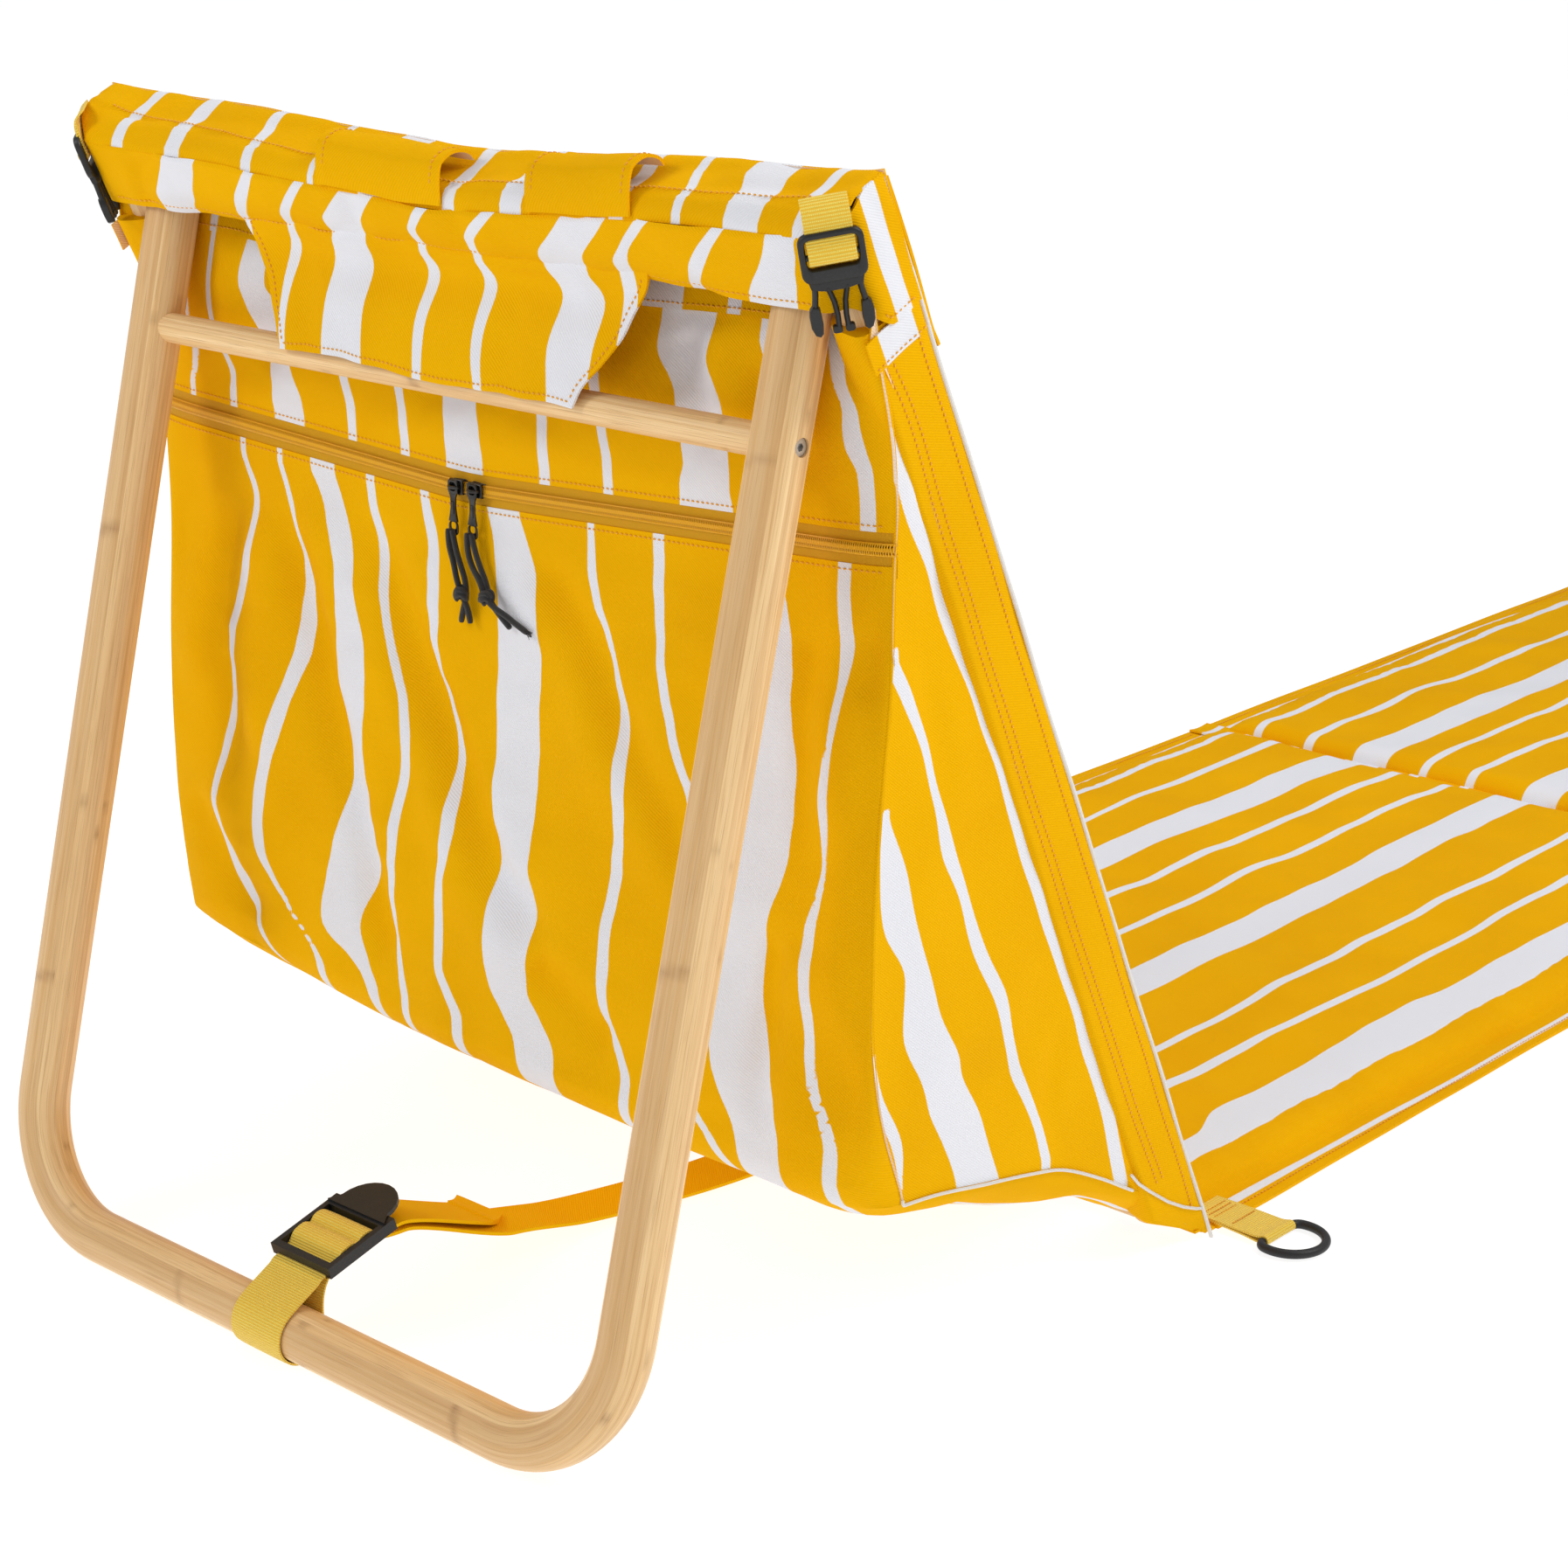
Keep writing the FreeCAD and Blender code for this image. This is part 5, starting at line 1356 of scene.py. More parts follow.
def hood_r(x, a):
    """Depth of the hood's rear face."""
    x, a = arr(x, a)
    r = 43.6 + 0 * a
    wide = 1 - ss((np.abs(x) - 235) / 34)
    r = r - 4.6 * np.exp(-((a - 661) / 9) ** 2) * (1 - ss((np.abs(x) - 190) / 30))
    r = r + 2.6 * np.exp(-((a - 684) / 12) ** 2) * wide
    r = r + (1.7 * hw1(x, a) + 0.9 * hw2(x, a) + 0.3 * hw3(x, a)) * wide
    r = r + fold(x, a, [(210, 705), (232, 690), (240, 670)], 2.0, 7, 1.0)
    r = r + fold(x, a, [(60, 712), (52, 695), (56, 672)], 1.8, 8, 0.8)
    r = r + fold(x, a, [(-40, 712), (-30, 694), (-34, 670)], 1.6, 8, -0.8)
    r = r + fold(x, a, [(-150, 710), (-166, 692), (-186, 676)], 1.8, 8, 0.8)
    return r


HOOD_ROWS = {
    712: "200 168|123 116|79 73|44 17|-22 -30|-70 -78|-122 -151|-173 -183|-221 -228|-250 -270",
    704: "204 176|132 124|89 81|53 26|-12 -22|-61 -70|-113 -143|-162 -171|-212 -220|-248 -266",
    696: "210 180|140 130|98 90|61 33|-3 -12|-50 -59|-105 -135|-153 -161|-203 -212|-244 -264",
    688: "215 184|147 136|107 98|70 42|5 -3|-39 -49|-96 -126|-146 -153|-196 -206|-239 -261",
    680: "221 188|151 142|114 106|78 50|11 4|-32 -40|-87 -118|-139 -149|-191 -200|-232 -259",
    672: "222 195|154 147|116 110|78 51|10 4|-32 -38|-84 -115|-138 -148|-186 -194|-226 -256",
    654: "222 195|154 147|119 111|80 49|7 -2|-38 -47|-94 -125|-138 -148|-184 -192|-222 -252",
    634: "222 195|154 147|120 114|82 50|10 2|-36 -43|-90 -122|-138 -148|-184 -192|-222 -252",
    616: "222 195|154 147|116 111|80 47|7 0|-40 -46|-93 -120|-138 -148|-184 -192|-222 -252",
}
HOOD_T = [[(a, *[float(q) for q in row.split("|")[k].split()]) for a, row in HOOD_ROWS.items()] for k in range(10)]
TOP_T = [
    [(28, 203, 190), (10, 205, 192)], [(28, 138, 130), (10, 145, 137)], [(28, 83, 81), (10, 88, 82)],
    [(28, -20, -29), (10, -18, -27)], [(28, -64, -80), (10, -62, -78)], [(28, -144, -154), (10, -142, -152)],
    [(28, -187, -193), (10, -178, -184)], [(28, -221, -243), (10, -213, -239)], [(20, -265, -272)],
    [(20, 250, 240)], [(20, 44, 22)],
]
# the way round the hood: side, corner, rear, corner, side
way = [(-291.6, 0.5), (-291.6, 25.5), (-273.5, 43.6), (273.5, 43.6), (291.6, 25.5), (291.6, 0.5)]
pts = resample(np.array([(x, r, 0) for x, r in way], float), 2.5)[:, :2]
for _ in range(3):
    pts[1:-1] = 0.25 * pts[:-2] + 0.5 * pts[1:-1] + 0.25 * pts[2:]
pl_ = np.concatenate([[0], np.cumsum(np.hypot(*np.diff(pts, axis=0).T))])
mid = pl_[-1] / 2
rear_m = (np.abs(pts[:, 0]) < 270)
hood = Shell()


def hem_a(x, r):
    side = ss((38 - r) / 16)
    return 667.5 - 1.0 * np.sin(x / 60) + (651.0 - 667.5) * side * (np.abs(x) > 200)


NW = 34
rim = curve1(pts[:, 0], *AT) - 2.0 - cap_drop(pts[:, 0], np.where(np.abs(pts[:, 0]) < 270, 42.0, np.minimum(pts[:, 1] + 12, 42)))
hem = hem_a(pts[:, 0], pts[:, 1])
rows = []
for q in np.linspace(0, 1, NW):
    a = rim + (hem - rim) * q
    x = pts[:, 0] * 1.0
    r = pts[:, 1].copy()
    r = np.where(rear_m, r + hood_r(x, a) - 43.6, r)
    corner = ss((np.abs(x) - 262) / 12)
    x = x + np.sign(x) * corner * (0.7 * hw2(r * 2, a) + 0.3 * hw3(r * 2, a))
    if q < 0.09:
        r = r - np.where(rear_m, 1.6 * (1 - q / 0.09) ** 2, 0)
    rows.append(bp(x, a, r))
P = np.stack(rows)
AA = np.stack([rim + (hem - rim) * q for q in np.linspace(0, 1, NW)])
XX = np.broadcast_to(pts[:, 0], AA.shape)
SS = np.broadcast_to(pl_ - mid, AA.shape)
D = np.where(rear_m[None, :], stripes(XX, AA, HOOD_T), 60.0)
side_t = np.minimum(np.maximum(XX * 0 + (8 - pts[None, :, 1]), pts[None, :, 1] - 20), 60)
corner_t = np.maximum(274 - np.abs(SS) + 0, np.abs(SS) - 283)
near = XX < -268
D = np.where(near & ~rear_m[None, :], np.minimum(side_t, 60), D)
hood.thick(P, 1.5, SS, AA, D, back=0.0)
# the cap over the top
xx = np.linspace(-291.4, 291.4, 230)
out_r = np.interp(np.abs(xx), [0, 273.5, 291.5], [42.6, 42.6, 26.0])
rows, TR = [], []
for q in np.linspace(0, 1, 20):
    r = -1.5 + (out_r + 1.5) * q
    ed = cap_drop(xx, r) + np.clip((q - 0.93) / 0.07, 0, 1) ** 2 * 2.0
    ed = np.maximum(ed, np.clip((np.abs(xx) - 285) / 6.5, 0, 1) ** 2 * 3.0)
    a = curve1(xx, *AT) - ed + (0.8 * hw2(xx, r * 3) + 0.25 * hw3(xx, r)) * (q < 0.97) * (1 - ss((q - 0.8) / 0.2))
    a = a - 1.2 * np.exp(-((r - np.interp(xx, SEAM_X, SEAM_RR) - 1.2) / 1.5) ** 2) - 2.6 * np.exp(-((r - 17) / 12) ** 2) * ss((270 - np.abs(xx)) / 20)
    a = a - np.clip((0.12 - q) / 0.12, 0, 1) ** 2 * 1.2
    rows.append(bp(xx, a, r))
    TR.append(r)
P = np.stack(rows)[::-1]
TR = np.stack(TR)[::-1]
hood.thick(P, 1.5, xx[None, :], TR, stripes(np.broadcast_to(xx, TR.shape), TR, TOP_T), flip=True)
# front face of the cap, down behind the headrest flap
rows = []
for q in np.linspace(0, 1, 14):
    a = curve1(xx, *AT) - 1.2 - q * 52
    rows.append(bp(xx, a, -1.5 + 0.9 * q))
hood.thick(np.stack(rows)[::-1], 1.0, xx[None, :], np.linspace(0, 52, 14)[:, None],
           np.broadcast_to(stripes(xx, 14 + 0 * xx, TOP_T), (14, len(xx))), flip=False)
hood_ob = hood.build("hood", M["canvas"], angle=55)
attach(hood_ob, "backrest")
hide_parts("hood_cap")
# the tongue that hangs over the rung
tong = Shell()
TA = [676, 668, 661, 653, 643, 632, 622, 614]
TRr = [42.0, 43.6, 45.5, 51.0, 59.0, 67.5, 75.5, 81.0]
tx_a = [676, 668, 654, 644, 634, 624, 614]
tx_l = [153, 151.5, 140, 132, 127, 120.5, 116]
tx_r = [-158, -156, -146, -140, -130, -118, -112]
tw = Waves(77, 70)


def tongue(x, a):
    x, a = arr(x, a)
    r = curve1(a, TA, TRr)
    o = 1.7 * tw(x, a) + 0.8 * hw2(x, a * 1.4) + 0.3 * hw3(x, a)
    o = o + fold(x, a, [(140, 657), (60, 652), (-40, 655), (-146, 652)], 3.4, 8, 1.4)
    o = o + fold(x, a, [(92, 650), (98, 632), (92, 615)], 2.0, 9, 0.8)
    o = o + fold(x, a, [(-66, 650), (-60, 634), (-66, 616)], 2.0, 9, 0.8)
    o = o + 1.5 * np.exp(-((x - 20) / 50) ** 2) * ss((660 - a) / 20)
    return bp(x, a, r + o * ss((674 - a) / 8) * 0.9)


rows, AA, XX = [], [], []
for q in np.linspace(0, 1, 44):
    a0 = 676 + (614 - 676) * q
    l, r_ = curve1(a0, tx_a, tx_l), curve1(a0, tx_a, tx_r)
    x = np.linspace(l, r_, 130)
    a = a0 + 1.5 * np.sin(x / 50.0) * q - 1.0 * np.cos(x / 23) * q
    rows.append(tongue(x, a))
    AA.append(a + 0 * x)
    XX.append(x)
P, AA, XX = np.stack(rows)[:, ::-1], np.stack(AA)[:, ::-1], np.stack(XX)[:, ::-1]
tong.thick(P, 1.5, XX, AA, stripes(XX, AA, HOOD_T), back=1.0)
tong_ob = tong.build("hood_tongue", M["canvas"], angle=55)
squashed(tong_ob)
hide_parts("hood_flap")
st = Stitches()
for line in (P[4:-1, 2], P[4:-1, -3], P[-3, 2:-2]):
    g = np.array([0, 0.87, 0.5])
    st.line(line, g, seed=12)
squashed(st.build("tongue_stitches"))
st = Stitches()
hx = np.arange(-268, 269, 2.0)
st.line(bp(hx, 667.5 - np.sin(hx / 60) + 4.2, hood_r(hx, 671.0)), NB, seed=13)
for sg in (-1, 1):
    rr = np.linspace(27, 2, 14)
    st.line(bp(sg * (292.1 + 0 * rr), hem_a(sg * 291.0 + 0 * rr, rr) + 4.2, rr), (sg, 0, 0), seed=15)
cr = np.interp(hx, SEAM_X, SEAM_RR) - 2.0
ax = curve1(hx, *AT)
st.line(bp(hx, ax - 2.4 * np.exp(-((cr - 17) / 12) ** 2) * ss((270 - np.abs(hx)) / 20) + 0.7 * hw2(hx, cr * 3) + 0.1, cr), UB, seed=17)
so = st.build("hood_stitches")
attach(so, "backrest")
# tunnel loops on the cap
tl = Shell()
st = Stitches()
for x0, x1 in ((-20, 74), (-160, -86)):
    xs_ = np.linspace(x0, x1, 34)
    rows = []
    for t in np.linspace(0, 1, 26):
        r = 10 + 33.5 * t
        h = 12.5 * np.sin(math.pi * np.clip(t * 1.0, 0, 1)) ** 0.55 * (1 - 0.18 * t)
        a = curve1(xs_, *AT) + 0.9 + h + 0.5 * np.sin(xs_ / 13 + t * 3) - cap_drop(xs_, r)
        rows.append(bp(xs_, a, r + 0 * xs_))
    P = np.stack(rows)
    tl.thick(P, 1.7, xs_[None, :], np.linspace(0, 44, 26)[:, None], back=1.0, edge=0.0)
    st.line(P[2:-2, 2], UB, seed=2)
    st.line(P[2:-2, -3], UB, seed=5)
tl_ob = tl.build("tunnel_loops", M["canvas"], angle=60)
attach(tl_ob, "backrest")
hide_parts("hood_tunnel_loops")
so = st.build("loop_stitches")
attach(so, "backrest")
# headrest flap on the front
PRINT = [(-276, 8), (-228, 30), (-170, 7), (-121, 8), (-40, 30), (22, 8), (66, 8), (118, 30), (182, 7), (236, 8), (268, 7)]
hf = Shell()
xx = np.linspace(-288, 288, 230)
rows = []
wf = Waves(90, 110)
for q in np.linspace(0, 1, 30):
    a = (curve1(xx, *AT) - 7) * (1 - q) + 620 * q
    e = ss(np.minimum(q, 1 - q) * 8)
    rows.append(bp(xx, a, -4.0 - 1.3 * wf(xx, a) * e))
P = np.stack(rows)
D = stripes(np.broadcast_to(xx, P.shape[:2]), np.broadcast_to(np.linspace(718, 620, 30)[:, None], P.shape[:2]),
            straight(PRINT, 5, 610, 720))
hf.thick(P, 1.8, xx[None, :], np.linspace(0, 98, 30)[:, None], D, flip=False)
hf_ob = hf.build("headrest_flap", M["mat"], angle=60)
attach(hf_ob, "backrest")
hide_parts("headrest_flap")


# ------------------------------------------------------------------- pads
def pad_shape(x, y, x_half, y0, y1, top, seed):
    """Height of a soft pad: full in the middle, thin at the sewn edges."""
    wa, wb = Waves(seed, 130), Waves(seed + 1, 48)
    ex_ = x_half - np.abs(x)
    ey0, ey1 = (y0 - y), (y - y1)
    e = np.minimum(ex_, 1e9)
    prof = np.sqrt(np.clip(1 - (1 - np.clip(e / 26, 0, 1)) ** 2, 0, 1))
    pe = np.sqrt(np.clip(1 - (1 - np.clip(ey0 / 18, 0, 1)) ** 2, 0, 1))
    pf = np.sqrt(np.clip(1 - (1 - np.clip(ey1 / 20, 0, 1)) ** 2, 0, 1))
    k = prof * pe * pf
    return 3.2 + (top - 3.2) * k + (1.5 * wa(x, y) + 0.6 * wb(x, y)) * k


def extent(table, seed, lo, hi):
    out = []
    rnd = random.Random(seed)
    for rows in table:
        rows = sorted(rows)
        for v, src in ((lo, rows[0]), (hi, rows[-1])):
            if (v < rows[0][0] - 20) or (v > rows[-1][0] + 20):
                o = rnd.uniform(-3, 3)
                rows.append((v, src[1] + o, src[2] + o))
        out.append(sorted(rows))
    return out


SEAT_T = [
    [(-600, 240, 233), (-650, 243, 236), (-730, 243, 236)],
    [(-550, 197, 191), (-600, 200, 193), (-650, 198, 189), (-730, 198, 189)],
    [(-500, 147, 114), (-550, 146, 113), (-600, 145, 112), (-730, 145, 112)],
    [(-450, 78, 70), (-500, 79, 70), (-730, 79, 70)],
    [(-350, 25, 18), (-400, 26, 18), (-450, 28, 20), (-500, 30, 22), (-550, 29, 21), (-600, 30, 22), (-650, 31, 23), (-730, 31, 23)],
    [(-300, -27, -59), (-350, -26, -58), (-400, -27, -58), (-450, -25, -57), (-500, -24, -56), (-550, -23, -55),
     (-600, -20, -54), (-650, -20, -52), (-700, -19, -52), (-730, -18, -50)],
    [(-250, -119, -126), (-300, -117, -125), (-350, -116, -124), (-450, -114, -122), (-550, -112, -120), (-650, -111, -119), (-700, -109, -116)],
    [(-200, -160, -169), (-250, -161, -168), (-300, -163, -170), (-350, -164, -171), (-450, -164, -171), (-600, -159, -167)],
    [(-80, -221, -243), (-120, -208, -243), (-160, -210, -242), (-200, -210, -244), (-250, -209, -244),
     (-300, -206, -245), (-350, -206, -243), (-400, -210, -243), (-450, -208, -244), (-500, -208, -241)],
    [(-40, -273, -280), (-120, -275, -280), (-200, -277, -280), (-250, -278, -282), (-350, -280, -283)],
    [(-300, 272, 266), (-600, 274, 268)],
]
SEAT_T = extent(SEAT_T, 6, -800, 0)
LEG_ITEMS = [(233, 8), (182, 8), (119, 32), (68, 8), (20, 8), (-44, 32), (-122, 8), (-170, 7), (-227, 34), (-279, 6), (272, 7)]
LEG_T = straight(LEG_ITEMS, 15, -1500, -810, 3.0)


def pad(name, body, y0, y1, table, seed, node, top=16.5):
    sh = Shell()
    nx = 236
    ys = np.concatenate([y0 - np.array([0, 1, 2.5, 4.5, 7, 10, 14]), np.arange(y0 - 19, y1 + 22, -5.0),
                         y1 + np.array([17, 12, 8, 5, 3, 1.2, 0])])
    wv_ = Waves(seed + 5, 160)
    half = 290.0 + 0.7 * wv_(ys, ys * 0)
    xs_ = np.linspace(-1, 1, nx)
    # denser towards the long edges
    xs_ = np.sign(xs_) * (1 - (1 - np.abs(xs_)) ** 1.08)
    X_ = xs_[None, :] * half[:, None]
    Y_ = np.broadcast_to(ys[:, None], X_.shape)
    Z_ = pad_shape(X_, Y_, 266.0, y0, y1, top, seed)
    Z_ = np.where(np.abs(X_) > 266, 3.4 + 0.5 * wv_(Y_, X_), Z_)
    # puckers where the edge seam draws the cloth in
    rnd = random.Random(seed)
    for sx in (-1, 1):
        yy = y0 - 12
        while yy > y1 + 12:
            g = np.exp(-(((Y_ - yy) * 1.0 + (np.abs(X_) - 266) * rnd.uniform(-.25, .25)) / 5.0) ** 2)
            Z_ = Z_ - rnd.uniform(0.4, 1.5) * g * np.exp(-((sx * X_ - 250) / 15.0) ** 2) * (sx * X_ > 0)
            yy -= rnd.uniform(13, 30)
    P = wp(X_, Y_, np.maximum(Z_, 2.6))
    D = stripes(X_, Y_, table)
    P, D, X2, Y2 = P[::-1], D[::-1], X_[::-1], Y_[::-1]
    P, D, X2, Y2 = P[:, ::1], D, X2, Y2
    sh.grid(P, X2, Y2, D, 0.0, flip=False)
    Q = P.copy()
    Q[..., 2] = 0.8
    Q[..., 0] *= 0.9985
    sh.grid(Q, X2, Y2, D, 0.0, flip=True)
    for sl_, fl in ((np.s_[0, :], False), (np.s_[-1, :], True)):
        sh.grid(np.stack([Q[sl_], P[sl_]]), np.stack([X2[sl_]] * 2), np.stack([Y2[sl_]] * 2), np.stack([D[sl_]] * 2), 0, fl)
    for sl_, fl in ((np.s_[:, 0], True), (np.s_[:, -1], False)):
        sh.grid(np.stack([Q[sl_], P[sl_]]), np.stack([X2[sl_]] * 2), np.stack([Y2[sl_]] * 2), np.stack([D[sl_]] * 2), 0, fl)
    ob = sh.build(name, M["mat"], merge=0.02, angle=50, recalc=True)
    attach(ob, body)
    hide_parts(node)
    s_ = Stitches()
    for sx in (-1, 1):
        yy = np.arange(y0 - 8, y1 + 8, -2.0)
        s_.line(wp(sx * (283.0 + 0.7 * wv_(yy, yy * 0)), yy, 3.55 + 0 * yy), (0, 0, 1), seed=seed)
    so_ = s_.build(name + "_stitches")
    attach(so_, body)
    return ob


pad("seat_pad", "seat_mat", -8, -797, SEAT_T, 101, "seat_pad")
pad("leg_pad", "leg_mat", -813, -1500, LEG_T, 131, "leg_pad")
fs = Shell()
xx = np.linspace(-289, 289, 200)
rows, yv = [], np.linspace(-792, -818, 9)
for y in yv:
    rows.append(wp(xx, y, 4.6 + 0.5 * np.sin(xx / 31) + 1.3 * ((y + 805) / 13) ** 2))
P = np.stack(rows)[::-1]
Dm = stripes(np.broadcast_to(xx, P.shape[:2]), np.full(P.shape[:2], -790.0), SEAT_T)
fs.thick(P, 1.8, xx[None, :], yv[::-1][:, None], Dm)
fs_ob = fs.build("fold_strip", M["mat"], angle=60)
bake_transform(fs_ob)
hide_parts("mat_fold_strip")
hs = Shell()
rows, yv = [], np.linspace(-13, 13, 12)
for y in yv:
    rows.append(wp(xx * 0.995, y, 2.6 + 4.0 * ss((y + 4) / 14) + 0.4 * np.sin(xx / 40)))
P = np.stack(rows)
hs.thick(P, 1.6, xx[None, :], yv[:, None])
hs_ob = hs.build("base_hinge", M["canvas"], angle=60)
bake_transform(hs_ob)
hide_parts("base_hinge_strip")

# the front of the backrest: a quilted face, and its padding behind
bk = Shell()
xx = np.linspace(-288.5, 288.5, 236)
aa = np.concatenate([np.linspace(3, 20, 6), np.arange(25, 690, 5.0), np.linspace(692, 700, 4)])
wq = Waves(140, 120)
X_, A_ = np.broadcast_to(xx[None, :], (len(aa), len(xx))), np.broadcast_to(aa[:, None], (len(aa), len(xx)))
k = np.sqrt(np.clip(1 - (1 - np.clip((262 - np.abs(X_)) / 22, 0, 1)) ** 2, 0, 1))
k = k * np.sqrt(np.clip(1 - (1 - np.clip((A_ - 22) / 18, 0, 1)) ** 2, 0, 1)) * np.sqrt(np.clip(1 - (1 - np.clip((616 - A_) / 18, 0, 1)) ** 2, 0, 1))
R_ = 1.2 - 3.4 * k + 0.9 * wq(X_, A_) * k
P = bp(X_, A_, R_)
D = stripes(X_, A_, straight([(-279, 6)] + [(c, w) for c, w in LEG_ITEMS[:-1]], 44, 0, 720, 4.0))
bk.grid(P, X_, A_, D, 0.0, flip=False)
Q = bp(X_ * 0.998, A_, 2.2 + 10 * k * (np.abs(X_) < 240))
bk.grid(Q, X_, A_, D, 0.0, flip=True)
for sl_, fl in ((np.s_[0, :], False), (np.s_[-1, :], True)):
    bk.grid(np.stack([Q[sl_], P[sl_]]), np.stack([X_[sl_]] * 2), np.stack([A_[sl_]] * 2), np.stack([D[sl_]] * 2), 0, fl)
for sl_, fl in ((np.s_[:, 0], True), (np.s_[:, -1], False)):
    bk.grid(np.stack([Q[sl_], P[sl_]]), np.stack([X_[sl_]] * 2), np.stack([A_[sl_]] * 2), np.stack([D[sl_]] * 2), 0, fl)
bk_ob = bk.build("backrest_pad", M["mat"], merge=0.02, angle=55, recalc=True)
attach(bk_ob, "backrest")
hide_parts("backrest_panel")


# ------------------------------------------------------------------- tapes
def ribbon(sh, line, width, side, t, edge=0.25, n=13, mat=0, u0=0.0):
    """A woven tape along a line of points, slightly proud at its selvedges."""
    line = np.asarray(line, float)
    side = np.asarray(side, float)
    T = np.gradient(line, axis=0)
    T /= np.linalg.norm(T, axis=1, keepdims=True)
    N = np.cross(T, side)
    N /= np.linalg.norm(N, axis=1, keepdims=True)
    s = np.concatenate([[0], np.cumsum(np.linalg.norm(np.diff(line, axis=0), axis=1))]) + u0
    q = np.linspace(-1, 1, n)
    bow = edge * np.abs(q) ** 6
    P = line[:, None, :] + side[None, None, :] * (q * width / 2)[None, :, None] + N[:, None, :] * bow[None, :, None]
    sh.thick(P, t, (q * width / 2)[None, :], s[:, None], flip=True, back=0.0)
    return P, N


def smooth_line(points, pitch=1.6, rounds=2):
    p = np.asarray(points, float)
    for _ in range(rounds):
        q = [p[0]]
        for a, b in zip(p[:-1], p[1:]):
            q += [a * 0.75 + b * 0.25, a * 0.25 + b * 0.75]
        q.append(p[-1])
        p = np.array(q)
    return resample(p, pitch)


